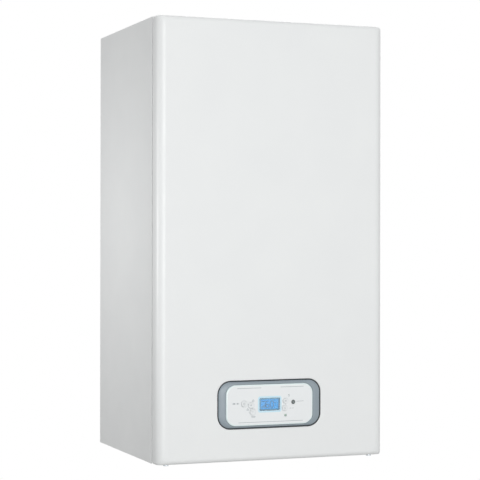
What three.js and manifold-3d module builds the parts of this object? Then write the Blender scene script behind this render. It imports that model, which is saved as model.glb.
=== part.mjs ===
// A wall-hung combi boiler, built piece by piece in millimetres, +Z up, front towards -Y, wall at y = 0.
// Inside this file heights are taken from the bottom edge of the casing; the group at the end is lowered so
// that the origin is the middle of the wall bracket's back face.
import * as THREE from 'three';
import { mergeVertices } from 'three/addons/utils/BufferGeometryUtils.js';
import Module from 'manifold-3d';

const wasm = await Module();
wasm.setup();

// ---------------------------------------------------------------- driving dimensions, mm
const GAP = 0.3; // clearance between pieces that touch
const CASE_WIDTH = 400;
const CASE_HEIGHT = 720;
const CASE_DEPTH = 325; // wall to the face of the front cover
const SHEET = 1.5; // sheet steel of the casing
const FLANGE = 14; // folded edges of the casing sheets

const COVER_LIP = 28; // depth of the front cover's folded sides
const COVER_SCREW_INSET = 20; // cover screws, from the casing's side faces
const COVER_EDGE_RADIUS = 15; // upright front edges
const COVER_RIM_RADIUS = 7; // top and bottom front edges

const FRAME_INSET = 12; // front frame, inside the casing's side faces
const FRAME_BOTTOM = 170;
const SEAL_WIDTH = 9;
const SEAL_CUSHION = 5; // thickness of the cover seal

const PANEL_X = -7; // middle of the control panel, left of the casing's middle
const PANEL_Z = 92;
const SURROUND_WIDTH = 178.4;
const SURROUND_HEIGHT = 75.2;
const SURROUND_RADIUS = 20.5;
const SURROUND_RISE = 2; // how far the surround's inner edge stands in front of the cover
const WINDOW_CLEARANCE = 1.9; // shadow gap between cover and surround
const FASCIA_WIDTH = 150;
const FASCIA_HEIGHT = 67;
const FASCIA_RADIUS = 15;
const FASCIA_BOW = 2.2; // outward bow of the fascia's left and right edges
const FASCIA_DROP = 0.6; // fascia centre below the surround's centre
const FASCIA_THICKNESS = 5;
const FASCIA_SHELL = 2;
const DISPLAY_WIDTH = 36;
const DISPLAY_HEIGHT = 20.5;
const BUTTON_CLEARANCE = 0.35;
const BUTTON_PROUD = 1.3; // button cap in front of the fascia, at rest
const BUTTON_CAP = 5.6; // length of a button cap
// place of each control from the panel's middle (x, z) and its radius
const CONTROLS = {
  mode_button: [-45.3, 2, 4.8],
  plus_button: [-33.2, -0.6, 4.8],
  minus_button: [-30.4, -11.4, 4.8],
  heating_button: [27.6, 4.6, 4.2],
  water_button: [26.2, -7, 4.2],
  reset_button: [41.6, 2.4, 3.3],
  status_lamp: [27.9, -18.8, 2],
};

const HOUSING_WIDTH = 250; // control box behind the cover
const HOUSING_BOTTOM = 44;
const HOUSING_TOP = 150;
const HOUSING_DEPTH = 63; // the cover's face to the box's rear face
const HOUSING_WALL = 2;
const BOARD_THICKNESS = 1.6;
const BOARD_MARGIN = 3; // board's edge to the box's walls
const POST_INSET = 12; // the board's posts, from the box's sides
const POST_RADIUS = 4;
// larger components: left edge from the panel's middle, foot from the box's bottom, width, height, depth
const BOARD_PARTS = [
  [-73, 16, 28, 22, 24], [-23, 18, 30, 16, 18], [27, 20, 34, 26, 28], [77, 14, 18, 14, 30],
  [-53, 68, 24, 18, 20], [12, 74, 42, 12, 12],
];
// capacitors: centre from the same two edges, and radius
const BOARD_CANS = [[2, 56, 7], [91, 68, 8]];
const CAN_HEIGHT = 22;
const HINGE_REACH = 13; // hinge axis in front of the tray
const HINGE_Z = 37;
const HINGE_PIN_RADIUS = 2;
const HINGE_EAR_RADIUS = 6;
const HINGE_EAR = 4; // thickness of a hinge ear

const RAIL_DROP = 48; // casing's top to the middle of the wall bracket
const RAIL_WIDTH = 300;
const RAIL_HEIGHT = 40;
const RAIL_SHEET = 2.5;
const RAIL_LIP = 10; // upturned lip that the boiler hangs on
const RAIL_HOLE = 4; // radius of its wall screws' holes
const CHASSIS_STANDOFF = 12; // wall to the back panel
const CHASSIS_BOTTOM = 20;

const TRAY_Z = 30;
const TRAY_REAR = 16;
const TRAY_FOLD = 10;

const VESSEL_RADIUS = 148;
const VESSEL_THICKNESS = 62;
const VESSEL_DROP = 4; // under the wall bracket
const VESSEL_DOME = 16;
const VESSEL_SEAM = 4; // how far the rolled seam stands out
const VESSEL_WALL = 2.2;
const VESSEL_PORT_X = -70;
const VESSEL_LEDGE_WIDTH = 90;
const VESSEL_LEDGE_DEPTH = 48;

const CELL_HEADROOM = 62; // the drum under the casing's top
const CELL_RADIUS = 98;
const CELL_SPACING = 16.2; // between the vessel and the drum
const CELL_FRONT_ROOM = 103; // the drum's front to the cover's face, for door, hood, fan and its motor
const CELL_WALL = 3;
const CELL_STUB = 22; // flue stub above the drum
const CELL_MOUTH = 60; // radius of the drum's front opening
const COIL_INNER = 62;
const COIL_TURNS = 4;
const DOOR_RADIUS = 90;
const DOOR_THICKNESS = 13;
const HOOD_WIDTH = 70;
const HOOD_HEIGHT = 60;
const HOOD_DEPTH = 50;
const BURNER_RADIUS = 35;
const BURNER_SPACE = 42; // behind the burner, inside the drum
const ELECTRODE_X = 28;
const ELECTRODE_DROP = 45;
const ELECTRODE_RADIUS = 5;
const FLUE_BACK = 150; // flue axis from the wall
const FLUE_RADIUS = 30;
const AIR_RADIUS = 50;
const FLUE_SOCKET = 14; // collar height above the top panel
const SADDLE_INSET = 26; // rest for the drum, in front of its rear end
const SADDLE_DROP = 130; // the rest's foot under the drum's axis
const SADDLE_HEIGHT = 55;

const FAN_SIDE_ROOM = 17; // fan to the casing's side face
const FAN_LIFT = 17; // fan above the gas valve
const FAN_RADIUS = 58;
const FAN_DEPTH = 40;
const FAN_WALL = 3;
const FAN_MOTOR_RADIUS = 35;
const FAN_MOTOR_LENGTH = 33;
const FAN_BLADES = 9;
const FAN_BLADE_LENGTH = 24;
const FAN_COLLAR = 4; // outlet's rim above the fan
const DUCT_RADIUS = 20;
const DUCT_WALL = 2.5;
const DUCT_BEND = 40;
const VENTURI_LENGTH = 49;
const VENTURI_RADIUS = 26;
const SILENCER_RADIUS = 21;
const SILENCER_HEADROOM = 108; // under the casing's top
const SILENCER_CLEARANCE = 6; // beside the drum
const SILENCER_SHIFT = 80; // height over which it passes from the fan to the drum's side
const GAS_VALVE_LIFT = 34.7; // above the pump's terminal box
const GAS_VALVE_HEIGHT = 85;
const GAS_VALVE_WIDTH = 56;
const GAS_VALVE_DEPTH = 60;
const GAS_OUTLET_SHIFT = 9.5; // its outlet, in front of its middle
const GAS_INLET_INSET = 25; // its inlet, from its back
const SOLENOID_RADIUS = 13;
const SOLENOID_HEIGHTS = [22, 60];
const SOLENOID_LENGTH = 14;
const GAS_PIPE_RADIUS = 9;
const GAS_PIPE_BEND = 16;
const GAS_PIPE_RISE = 24; // its lower run above the manifolds' undersides
const GAS_PIPE_DROP = 20; // its upper run under the gas valve
const SPARK_WIDTH = 28;
const SPARK_HEIGHT = 50;
const SPARK_DEPTH = 55;
const SPARK_BACK = 115;
const SPARK_DROP = 85; // under the fan's axis
const SPARK_NOSE = 8;
const SPARK_NOSE_RADIUS = 5;

const TAIL_BACK = 110; // row of bottom connections, from the wall
const TAIL_PITCH = 65;
const TAIL_RADIUS = 13;
const TAIL_BORE = 8;
const TAIL_END = 4; // height of the tails' ends
const MANIFOLD_Z = 52;
const MANIFOLD_HEIGHT = 48;
const MANIFOLD_REAR = 85;
const MANIFOLD_DEPTH = 50;
const MANIFOLD_OVERHANG = 20; // manifold past its outer tail
const CHAMBER_RADIUS = 12; // diverter chamber
const DIVERTER_TRAVEL = 6;
const EXCHANGER_PLATES = 9;
const EXCHANGER_LENGTH = 190;
const EXCHANGER_DEPTH = 70;
const EXCHANGER_LAP = 13; // lies this far over the manifolds
const EXCHANGER_INSET = 2; // its end, from the manifold's end
const PLATE_PITCH = 5.4;
const PLATE_THICKNESS = 3;
const PUMP_SHIFT = 5; // pump, inside the outer tail
const PUMP_RADIUS = 42;
const PUMP_CAVITY = 34;
const PUMP_DEPTH = 35;
const PUMP_MOTOR_RADIUS = 43;
const PUMP_MOTOR_LENGTH = 80;
const PUMP_BOX_WIDTH = 48;
const PUMP_BOX_RISE = 5; // terminal box above the motor
const PUMP_NECK = 6; // outlet above the volute
const PIPE_RADIUS = 11;
const PIPE_WALL = 1.5;
const PORT_X = 50; // water ports under the drum
const PORT_INSET = 48; // in front of the drum's rear end
const PORT_STUB = 7; // below the drum
const PIPE_BEND = 26;
const PIPE_RUN = 155; // water ports down to the pipes' straight parts
const FLOW_PIPE_RUN = 235;
const RETURN_PIPE_RUN = 70;
const FLOW_PIPE_SHIFT = 15; // beside the hot water tail
const PIPE_ENTRY_BACK = 118;
const RELIEF_SHIFT = 3; // beside the cold water tail
const RELIEF_RADIUS = 13;
const TRAP_X = -60;
const TRAP_INSET = 13; // behind the drum's front end
const TRAP_RADIUS = 25;
const TRAP_HEIGHT = 114;
const HOSE_RADIUS = 9;
const HOSE_SIDE_ROOM = 35; // hose to the casing's side face
const HOSE_DROP = 40; // straight down from the trap
const HOSE_FALL = 60; // on the way to the side
const HOSE_BEND = 24;
const KNOB_RADIUS = 14;

// ---------------------------------------------------------------- places worked out from them
const HALF = CASE_WIDTH / 2;
const FRONT = -CASE_DEPTH;
const LIP_END = FRONT + COVER_LIP;
const SIDE_FRONT = LIP_END + GAP;
const INSIDE = HALF - SHEET - GAP; // half width between the side panels
const CHASSIS_FRONT = -CHASSIS_STANDOFF - SHEET;
const IN_CHASSIS = -CHASSIS_STANDOFF - SHEET / 2; // brackets are welded this deep into the back panel
const TOP_UNDER = CASE_HEIGHT - SHEET;
const RAIL_Z = CASE_HEIGHT - RAIL_DROP;
const VESSEL_Z = RAIL_Z - RAIL_HEIGHT / 2 - VESSEL_DROP - VESSEL_RADIUS;
const HOUSING_REAR = CASE_DEPTH - HOUSING_DEPTH;
const HINGE_BACK = HOUSING_REAR + HINGE_EAR_RADIUS;
const TRAY_FRONT = HINGE_BACK - HINGE_REACH;
const COVER_BACK_FACE = FRONT + SHEET;
const FRAME_FRONT = COVER_BACK_FACE + GAP + SEAL_CUSHION + GAP;
const PLATE_FRONT = COVER_BACK_FACE + 1.5; // flat part of the surround, just behind the cover
const PLATE_BACK = PLATE_FRONT + 3;
const FASCIA_FRONT = FRONT - SURROUND_RISE - 0.8;
const FASCIA_Z = PANEL_Z - FASCIA_DROP;
const CELL_REAR = CHASSIS_STANDOFF + SHEET + GAP + VESSEL_THICKNESS + CELL_SPACING;
const CELL_LENGTH = CASE_DEPTH - CELL_REAR - CELL_FRONT_ROOM;
const CELL_FRONT = -CELL_REAR - CELL_LENGTH;
const CELL_Z = CASE_HEIGHT - CELL_HEADROOM - CELL_RADIUS;
const BURNER_LENGTH = CELL_LENGTH - BURNER_SPACE;
const SADDLE_BACK = CELL_REAR + SADDLE_INSET;
const SADDLE_Z = CELL_Z - SADDLE_DROP;
const PORT_BACK = CELL_REAR + PORT_INSET;
const PORT_Z = CELL_Z - CELL_RADIUS - PORT_STUB;
const TRAP_BACK = -CELL_FRONT - TRAP_INSET;
const DOOR_BACK = CELL_FRONT - GAP;
const DOOR_FRONT = DOOR_BACK - DOOR_THICKNESS;
const DUCT_Y = DOOR_FRONT - HOOD_DEPTH / 2 - 4;
const MANIFOLD_TOP = MANIFOLD_Z + MANIFOLD_HEIGHT;
const MANIFOLD_FRONT = -MANIFOLD_REAR - MANIFOLD_DEPTH;
const MANIFOLD_MIDDLE_Z = MANIFOLD_Z + MANIFOLD_HEIGHT / 2;
const TAIL_Y = -TAIL_BACK;
const OUTER_TAIL = 2 * TAIL_PITCH;
const PUMP_X = OUTER_TAIL - PUMP_SHIFT;
const PUMP_Z = MANIFOLD_TOP + GAP + PUMP_RADIUS;
const PUMP_BOX_TOP = PUMP_Z + PUMP_MOTOR_RADIUS + PUMP_BOX_RISE;
const FLOW_PIPE_X = -TAIL_PITCH - FLOW_PIPE_SHIFT;
const RELIEF_X = TAIL_PITCH - RELIEF_SHIFT;
const GAS_VALVE_Z = PUMP_BOX_TOP + GAS_VALVE_LIFT;
const FAN_X = HALF - FAN_SIDE_ROOM - FAN_RADIUS;
const FAN_Z = GAS_VALVE_Z + GAS_VALVE_HEIGHT + FAN_LIFT + FAN_RADIUS;
const FAN_REAR = -DUCT_Y - FAN_DEPTH / 2;
const FAN_FRONT = -FAN_REAR - FAN_DEPTH;
const DUCT_X = FAN_X + FAN_RADIUS - DUCT_RADIUS;
const VENTURI_BACK = -FAN_REAR + GAP + VENTURI_LENGTH;
const VENTURI_MIDDLE = -FAN_REAR + GAP + VENTURI_LENGTH / 2;
const SILENCER_X = CELL_RADIUS + SILENCER_CLEARANCE + SILENCER_RADIUS;
const SILENCER_Y = VENTURI_BACK + GAP + SILENCER_RADIUS + 9;
const SILENCER_TOP = CASE_HEIGHT - SILENCER_HEADROOM;
const GAS_VALVE_BACK = -VENTURI_MIDDLE - GAS_OUTLET_SHIFT - GAS_VALVE_DEPTH / 2;
const GAS_PIPE_FRONT = GAS_VALVE_BACK + GAS_INLET_INSET;
const HOSE_X = HOSE_SIDE_ROOM - HALF;

// ---------------------------------------------------------------- solids
/** A closed three.js geometry as a solid that can be cut and joined. */
function solid(geometry) {
  const bare = geometry.clone();
  bare.deleteAttribute('normal');
  bare.deleteAttribute('uv');
  const merged = mergeVertices(bare, 1e-3);
  return new wasm.Manifold(new wasm.Mesh({
    numProp: 3,
    vertProperties: new Float32Array(merged.attributes.position.array),
    triVerts: new Uint32Array(merged.index.array),
  }));
}

const join = (...parts) => parts.reduce((sum, part) => sum.add(part));
const cut = (body, ...tools) => tools.reduce((left, tool) => left.subtract(tool), body);

/** A box between two corners. */
function block([x0, x1], [y0, y1], [z0, z1]) {
  const box = new THREE.BoxGeometry(x1 - x0, y1 - y0, z1 - z0);
  return solid(box.translate((x0 + x1) / 2, (y0 + y1) / 2, (z0 + z1) / 2));
}

/** Turns a geometry whose axis is Y so that it runs along the named axis, then centres it on (u, v). */
function along(geometry, axis, middle, u, v) {
  if (axis === 'x') return geometry.rotateZ(Math.PI / 2).translate(middle, u, v);
  if (axis === 'z') return geometry.rotateX(Math.PI / 2).translate(u, v, middle);
  return geometry.translate(u, middle, v);
}

/** A rod along an axis; (u, v) is its centre on the other two axes, in x, y, z order. */
function rod(axis, radius, [from, to], [u, v], sides = 12) {
  const cylinder = new THREE.CylinderGeometry(radius, radius, Math.abs(to - from), sides);
  return solid(along(cylinder, axis, (from + to) / 2, u, v));
}

/** A rod with a bore right through. */
function sleeve(axis, outer, bore, [from, to], centre, sides = 16) {
  const over = Math.sign(to - from);
  const hole = rod(axis, bore, [from - over, to + over], centre, sides);
  return cut(rod(axis, outer, [from, to], centre, sides), hole);
}

/** An outline in the XZ plane pushed from y0 to y1. */
function slab(shape, [y0, y1], curveSegments = 8) {
  const depth = y1 - y0;
  const geometry = new THREE.ExtrudeGeometry(shape, { depth, bevelEnabled: false, curveSegments });
  return solid(geometry.rotateX(Math.PI / 2).translate(0, y1, 0));
}

/** Corner points of a rounded rectangle in XZ; the left and right edges may bow outwards. */
function roundedPoints(width, height, radius, [cx, cz], bow = 0, perCorner = 6) {
  const points = [];
  const corners = [[1, 1, 0], [-1, 1, 90], [-1, -1, 180], [1, -1, 270]];
  for (const [sx, sz, start] of corners) {
    for (let i = 0; i <= perCorner; i++) {
      const angle = THREE.MathUtils.degToRad(start + (90 * i) / perCorner);
      const x = sx * (width / 2 - radius) + radius * Math.cos(angle);
      const z = sz * (height / 2 - radius) + radius * Math.sin(angle);
      const swell = bow * (1 - (z / (height / 2)) ** 2) * (x / (width / 2));
      points.push(new THREE.Vector2(cx + x + swell, cz + z));
    }
  }
  return points;
}

const roundedShape = (...size) => new THREE.Shape(roundedPoints(...size));

/** A closed skin through rings of points, each ring given as [outline, y], front ring first. */
function loft(rings) {
  const count = rings[0][0].length;
  const corners = rings.flatMap(([outline, y]) => outline.flatMap((p) => [p.x, y, p.y]));
  const faces = [];
  for (let r = 0; r + 1 < rings.length; r++) {
    for (let i = 0; i < count; i++) {
      const a = r * count + i;
      const b = r * count + ((i + 1) % count);
      faces.push(a, a + count, b, b, a + count, b + count);
    }
  }
  const last = (rings.length - 1) * count;
  for (let i = 1; i + 1 < count; i++) {
    faces.push(0, i, i + 1, last, last + i + 1, last + i);
  }
  const geometry = new THREE.BufferGeometry();
  geometry.setAttribute('position', new THREE.Float32BufferAttribute(corners, 3));
  geometry.setIndex(faces);
  return solid(geometry);
}

/** The centre line of a pipe: straight runs through the points, with rounded bends of a few steps each. */
class PipeLine extends THREE.Curve {
  constructor(points, bend, bendSteps = 4) {
    super();
    const stops = points.map((p) => new THREE.Vector3(...p));
    const heading = (i) => stops[i + 1].clone().sub(stops[i]).normalize();
    this.stations = [[stops[0], heading(0)]];
    for (let i = 1; i + 1 < stops.length; i++) {
      const enter = stops[i].clone().addScaledVector(heading(i - 1), -bend);
      const leave = stops[i].clone().addScaledVector(heading(i), bend);
      const corner = new THREE.QuadraticBezierCurve3(enter, stops[i], leave);
      for (let k = 0; k <= bendSteps; k++) {
        this.stations.push([corner.getPoint(k / bendSteps), corner.getTangent(k / bendSteps)]);
      }
    }
    this.stations.push([stops.at(-1), heading(stops.length - 2)]);
    this.steps = this.stations.length - 1;
  }

  /** The stations are spread evenly over the parameter, so straight runs take a single step. */
  getPointAt(u) {
    return this.stations[Math.round(u * this.steps)][0].clone();
  }

  getTangentAt(u) {
    return this.stations[Math.round(u * this.steps)][1].clone();
  }
}

/** A pipe of one radius along a bent line; a wall makes it hollow. */
function pipe(points, bend, radius, { wall = 0, sides = 8 } = {}) {
  const line = new PipeLine(points, bend);
  const circle = (path, r, turn) => {
    for (let i = 0; i < sides; i++) {
      const angle = (turn * 2 * Math.PI * i) / sides;
      path[i ? 'lineTo' : 'moveTo'](r * Math.cos(angle), r * Math.sin(angle));
    }
    return path;
  };
  const ring = circle(new THREE.Shape(), radius, 1);
  if (wall) ring.holes.push(circle(new THREE.Path(), radius - wall, -1));
  const sweep = { extrudePath: line, steps: line.steps, bevelEnabled: false };
  return solid(new THREE.ExtrudeGeometry(ring, sweep));
}

/** A profile [radius, position] turned about the named axis. */
function turned(axis, profile, [u, v], sides = 16) {
  const points = profile.map(([radius, position]) => new THREE.Vector2(radius, position));
  return solid(along(new THREE.LatheGeometry(points, sides), axis, 0, u, v));
}

// ---------------------------------------------------------------- casing
/** The box outline of the casing front: rounded upright edges and small rounded rims. */
function coverBody(inset) {
  const half = HALF - inset;
  const face = FRONT + inset;
  const back = LIP_END + (inset ? 1 : 0);
  const edge = COVER_EDGE_RADIUS - inset;
  const rim = COVER_RIM_RADIUS - inset;
  const plan = new THREE.Shape();
  plan.moveTo(-half, back);
  plan.lineTo(-half, face + edge);
  plan.absarc(-half + edge, face + edge, edge, Math.PI, 1.5 * Math.PI);
  plan.absarc(half - edge, face + edge, edge, 1.5 * Math.PI, 2 * Math.PI);
  plan.lineTo(half, back);
  const upright = new THREE.ExtrudeGeometry(plan, {
    depth: CASE_HEIGHT - 2 * inset, bevelEnabled: false, curveSegments: 8,
  }).translate(0, 0, inset);
  const section = new THREE.Shape();
  section.moveTo(back, inset);
  section.lineTo(back, CASE_HEIGHT - inset);
  section.absarc(face + rim, CASE_HEIGHT - inset - rim, rim, 0.5 * Math.PI, Math.PI);
  section.absarc(face + rim, inset + rim, rim, Math.PI, 1.5 * Math.PI);
  const lengthwise = new THREE.ExtrudeGeometry(section, {
    depth: CASE_WIDTH, bevelEnabled: false, curveSegments: 6,
  });
  // local x is the depth, local y the height, local z the width
  const turn = new THREE.Matrix4().makeBasis(
    new THREE.Vector3(0, 1, 0), new THREE.Vector3(0, 0, 1), new THREE.Vector3(1, 0, 0));
  return solid(upright).intersect(solid(lengthwise.applyMatrix4(turn).translate(-HALF, 0, 0)));
}

function frontCover() {
  const window = roundedShape(
    SURROUND_WIDTH + 2 * WINDOW_CLEARANCE, SURROUND_HEIGHT + 2 * WINDOW_CLEARANCE,
    SURROUND_RADIUS + WINDOW_CLEARANCE, [PANEL_X, PANEL_Z]);
  const holes = [-1, 1].map((side) => rod('z', SCREW.hole, [-1, SHEET + 1], [side * SCREW.x, SCREW.y]));
  return cut(coverBody(0), coverBody(SHEET), slab(window, [FRONT - 1, FRONT + SHEET + 1]), ...holes);
}

const SCREW = {
  x: HALF - COVER_SCREW_INSET, y: LIP_END - 13, shank: 2, hole: 2.3, head: 4.5, headHeight: 2.2, tip: 6,
  lug: 12,
};

/** Captive screw under the cover's bottom edge; its shank lies in an open notch of the side panel's lug. */
function coverScrew(side) {
  const centre = [side * SCREW.x, SCREW.y];
  const head = rod('z', SCREW.head, [-SCREW.headHeight - GAP, -GAP], centre, 20);
  const slot = block(
    [centre[0] - SCREW.head, centre[0] + SCREW.head], [SCREW.y - 0.6, SCREW.y + 0.6],
    [-SCREW.headHeight - 1, -SCREW.headHeight + 0.6]);
  return join(cut(head, slot), rod('z', SCREW.shank, [-GAP, SCREW.tip], centre, 16));
}

function sidePanel(side) {
  const span = (a, b) => [Math.min(side * a, side * b), Math.max(side * a, side * b)];
  const inner = HALF - SHEET;
  const lugZ = SHEET + GAP;
  const lug = cut(
    block(
      span(SCREW.x - SCREW.lug, SCREW.x + SCREW.lug), [SCREW.y - 5, SIDE_FRONT + SHEET],
      [lugZ, lugZ + SHEET]),
    rod('z', SCREW.hole, [0, 10], [side * SCREW.x, SCREW.y]),
    block(span(SCREW.x - SCREW.hole, SCREW.x + SCREW.hole), [SCREW.y - 9, SCREW.y], [0, 10]));
  const lugFoot = block(
    span(SCREW.x - SCREW.lug, inner), [SIDE_FRONT, SIDE_FRONT + SHEET], [lugZ, lugZ + 8]);
  return join(
    block(span(inner, HALF), [SIDE_FRONT, 0], [0, CASE_HEIGHT]),
    block(
      span(inner - FLANGE, inner + 0.5), [SIDE_FRONT, SIDE_FRONT + SHEET], [lugZ, TOP_UNDER - GAP]),
    block(span(inner - FLANGE, inner + 0.5), [-SHEET, 0], [0, TOP_UNDER - GAP]),
    lug, lugFoot);
}

function topPanel() {
  const sheet = block([-INSIDE, INSIDE], [SIDE_FRONT, -GAP], [TOP_UNDER, CASE_HEIGHT]);
  const apron = HALF - SHEET - FLANGE - GAP;
  const fold = block(
    [-apron, apron], [SIDE_FRONT, SIDE_FRONT + SHEET], [TOP_UNDER - FLANGE, TOP_UNDER + 0.5]);
  const hole = rod('z', AIR_RADIUS + GAP, [TOP_UNDER - 1, CASE_HEIGHT + 1], [0, -FLUE_BACK], 32);
  return cut(join(sheet, fold), hole);
}

function bottomTray() {
  const sheet = block([-INSIDE, INSIDE], [-TRAY_FRONT, -TRAY_REAR], [TRAY_Z, TRAY_Z + SHEET]);
  const fold = block([-INSIDE, INSIDE], [-TRAY_FRONT, -TRAY_FRONT + SHEET], [TRAY_Z, TRAY_Z + TRAY_FOLD]);
  const through = (radius, x, y) => rod('z', radius, [TRAY_Z - 1, TRAY_Z + SHEET + 1], [x, y]);
  const tails = [-2, -1, 1, 2].map((place) => through(TAIL_RADIUS + GAP, place * TAIL_PITCH, TAIL_Y));
  const ears = [-1, 1].map((side) => hingeEar(
    PANEL_X + side * (HOUSING_WIDTH / 2 + 4), [-HINGE_BACK - HINGE_EAR_RADIUS, -TRAY_FRONT + SHEET], TRAY_Z));
  return cut(
    join(sheet, fold, ...ears), ...tails, through(GAS_PIPE_RADIUS + GAP, 0, TAIL_Y),
    through(FILLER.radius + GAP, FILLER.x, TAIL_Y), through(HOSE_RADIUS + GAP, HOSE_X, -TRAP_BACK),
    through(RELIEF.spout + GAP, RELIEF_X, RELIEF.spoutY), ...hingeBores());
}

/** One ear of the control box's hinge, round at the pin and square where it joins its sheet. */
function hingeEar(x, [y0, y1], z0) {
  const width = [x - HINGE_EAR / 2, x + HINGE_EAR / 2];
  const eye = rod('x', HINGE_EAR_RADIUS, width, [-HINGE_BACK, HINGE_Z]);
  return join(eye, block(width, [-HINGE_BACK, y1], [z0, HINGE_Z + HINGE_EAR_RADIUS]),
    block(width, [y0, -HINGE_BACK], [HINGE_Z - 2, HINGE_Z + 2]));
}

const hingeBores = () => [
  rod('x', HINGE_PIN_RADIUS + GAP, [-HALF, HALF], [-HINGE_BACK, HINGE_Z], 20)];

function backPanel() {
  const plate = block(
    [-INSIDE, INSIDE], [CHASSIS_FRONT, -CHASSIS_STANDOFF], [CHASSIS_BOTTOM, TOP_UNDER - GAP]);
  const hookTop = RAIL_Z + RAIL_HEIGHT / 2;
  const slot = block(
    [-RAIL_WIDTH / 2 - 2, RAIL_WIDTH / 2 + 2], [CHASSIS_FRONT - 1, -CHASSIS_STANDOFF + 1],
    [hookTop - RAIL_LIP - 6, hookTop + GAP]);
  const armX = VESSEL_RADIUS + 8;
  const arms = [-1, 1].map((side) => block(
    [Math.min(side * armX, side * (armX + SHEET)), Math.max(side * armX, side * (armX + SHEET))],
    [-SADDLE_BACK - SHEET, IN_CHASSIS], [SADDLE_Z, SADDLE_Z + FLANGE]));
  const web = block(
    [-armX - SHEET, armX + SHEET], [-SADDLE_BACK - SHEET, -SADDLE_BACK],
    [SADDLE_Z, SADDLE_Z + SADDLE_HEIGHT]);
  const drum = rod('y', CELL_RADIUS + GAP, [-SADDLE_BACK - 9, -SADDLE_BACK + 9], [0, CELL_Z], 48);
  const airPipe = rod(
    'z', SILENCER_RADIUS + GAP, [SADDLE_Z - 1, SADDLE_Z + SADDLE_HEIGHT + 1], [SILENCER_X, SILENCER_Y], 20);
  const ledgeTop = VESSEL_Z - VESSEL_RADIUS - GAP;
  const vesselLedge = block(
    [-VESSEL_LEDGE_WIDTH / 2, VESSEL_LEDGE_WIDTH / 2], [CHASSIS_FRONT - VESSEL_LEDGE_DEPTH, IN_CHASSIS],
    [ledgeTop - SHEET, ledgeTop]);
  const ledgeZ = MANIFOLD_Z + 6;
  const manifoldLedge = block(
    [-OUTER_TAIL, OUTER_TAIL], [-MANIFOLD_REAR + GAP, IN_CHASSIS], [ledgeZ, ledgeZ + SHEET]);
  return join(cut(plate, slot), ...arms, cut(web, drum, airPipe), vesselLedge, manifoldLedge);
}

/** The rail screwed to the wall: a flat strip with a shelf and an upturned lip, and two screw holes. */
function wallBracket() {
  const wide = [-RAIL_WIDTH / 2, RAIL_WIDTH / 2];
  const top = RAIL_Z + RAIL_HEIGHT / 2;
  const lipFront = CHASSIS_FRONT - 2 - RAIL_SHEET;
  const strip = block(wide, [-RAIL_SHEET, 0], [top - RAIL_HEIGHT, top]);
  const shelf = block(wide, [lipFront, 0], [top - RAIL_SHEET, top]);
  const lip = block(wide, [lipFront, lipFront + RAIL_SHEET], [top - RAIL_SHEET, top + RAIL_LIP]);
  const holes = [-1, 1].map((side) => rod(
    'y', RAIL_HOLE, [-RAIL_SHEET - 1, 1], [side * RAIL_WIDTH / 3, RAIL_Z - RAIL_HOLE], 16));
  return cut(join(strip, shelf, lip), ...holes);
}

/** The ring that the cover seals against, standing off the side panels' front flanges. */
function frontFrame() {
  const half = HALF - FRAME_INSET;
  const top = TOP_UNDER - FRAME_INSET;
  const back = SIDE_FRONT - GAP;
  const box = (inset, y) => block([-half + inset, half - inset], y, [FRAME_BOTTOM + inset, top - inset]);
  return cut(
    box(0, [FRAME_FRONT, back]), box(SHEET, [FRAME_FRONT + SHEET, back + 1]),
    box(FLANGE, [FRAME_FRONT - 1, back]));
}

function coverSeal() {
  const half = HALF - FRAME_INSET - 1;
  const top = TOP_UNDER - FRAME_INSET - 1;
  const front = FRAME_FRONT - GAP - SEAL_CUSHION;
  const box = (inset, y) => block([-half + inset, half - inset], y, [FRAME_BOTTOM + 1 + inset, top - inset]);
  return cut(box(0, [front, front + SEAL_CUSHION]), box(SEAL_WIDTH, [front - 1, front + SEAL_CUSHION + 1]));
}

// ---------------------------------------------------------------- controls
const housingX = [PANEL_X - HOUSING_WIDTH / 2, PANEL_X + HOUSING_WIDTH / 2];

/** The shell behind the controls, open towards the front, with two hinge ears under its rear edge. */
function controlHousing() {
  const front = PLATE_BACK + GAP;
  const shell = block(housingX, [front, -HOUSING_REAR], [HOUSING_BOTTOM, HOUSING_TOP]);
  const room = block(
    [housingX[0] + HOUSING_WALL, housingX[1] - HOUSING_WALL], [front - 1, -HOUSING_REAR - HOUSING_WALL],
    [HOUSING_BOTTOM + HOUSING_WALL, HOUSING_TOP - HOUSING_WALL]);
  const lugs = [-1, 1].map((side) => {
    const x = PANEL_X + side * (HOUSING_WIDTH / 2 - HINGE_EAR / 2 + 0.5);
    const eye = rod('x', HINGE_EAR_RADIUS, [x - HINGE_EAR / 2, x + HINGE_EAR / 2], [-HINGE_BACK, HINGE_Z]);
    const neck = block(
      [x - HINGE_EAR / 2, x + HINGE_EAR / 2], [-HINGE_BACK - HINGE_EAR_RADIUS, -HOUSING_REAR],
      [HINGE_Z, HOUSING_BOTTOM + 4]);
    return join(eye, neck);
  });
  const posts = [[-1, -1], [1, -1], [-1, 1], [1, 1]].map(([sx, sz]) => rod(
    'y', POST_RADIUS, [BOARD.back + GAP, -HOUSING_REAR - 1],
    [PANEL_X + sx * (HOUSING_WIDTH / 2 - POST_INSET),
      (HOUSING_BOTTOM + HOUSING_TOP) / 2 + sz * ((HOUSING_TOP - HOUSING_BOTTOM) / 2 - POST_INSET + 1)], 12));
  return cut(join(cut(shell, room), ...lugs, ...posts), ...hingeBores());
}

/** Pin through a pair of hinge ears, with a flat head outside. */
function hingePin(side) {
  const ear = PANEL_X + side * (HOUSING_WIDTH / 2 + 4);
  const outer = ear + side * (HINGE_EAR / 2 + GAP);
  const inner = PANEL_X + side * (HOUSING_WIDTH / 2 - HINGE_EAR - 1.5);
  return join(
    rod('x', HINGE_PIN_RADIUS, [outer, inner], [-HINGE_BACK, HINGE_Z], 16),
    rod('x', HINGE_PIN_RADIUS + 1.5, [outer, outer + side * 2], [-HINGE_BACK, HINGE_Z], 16));
}

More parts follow.
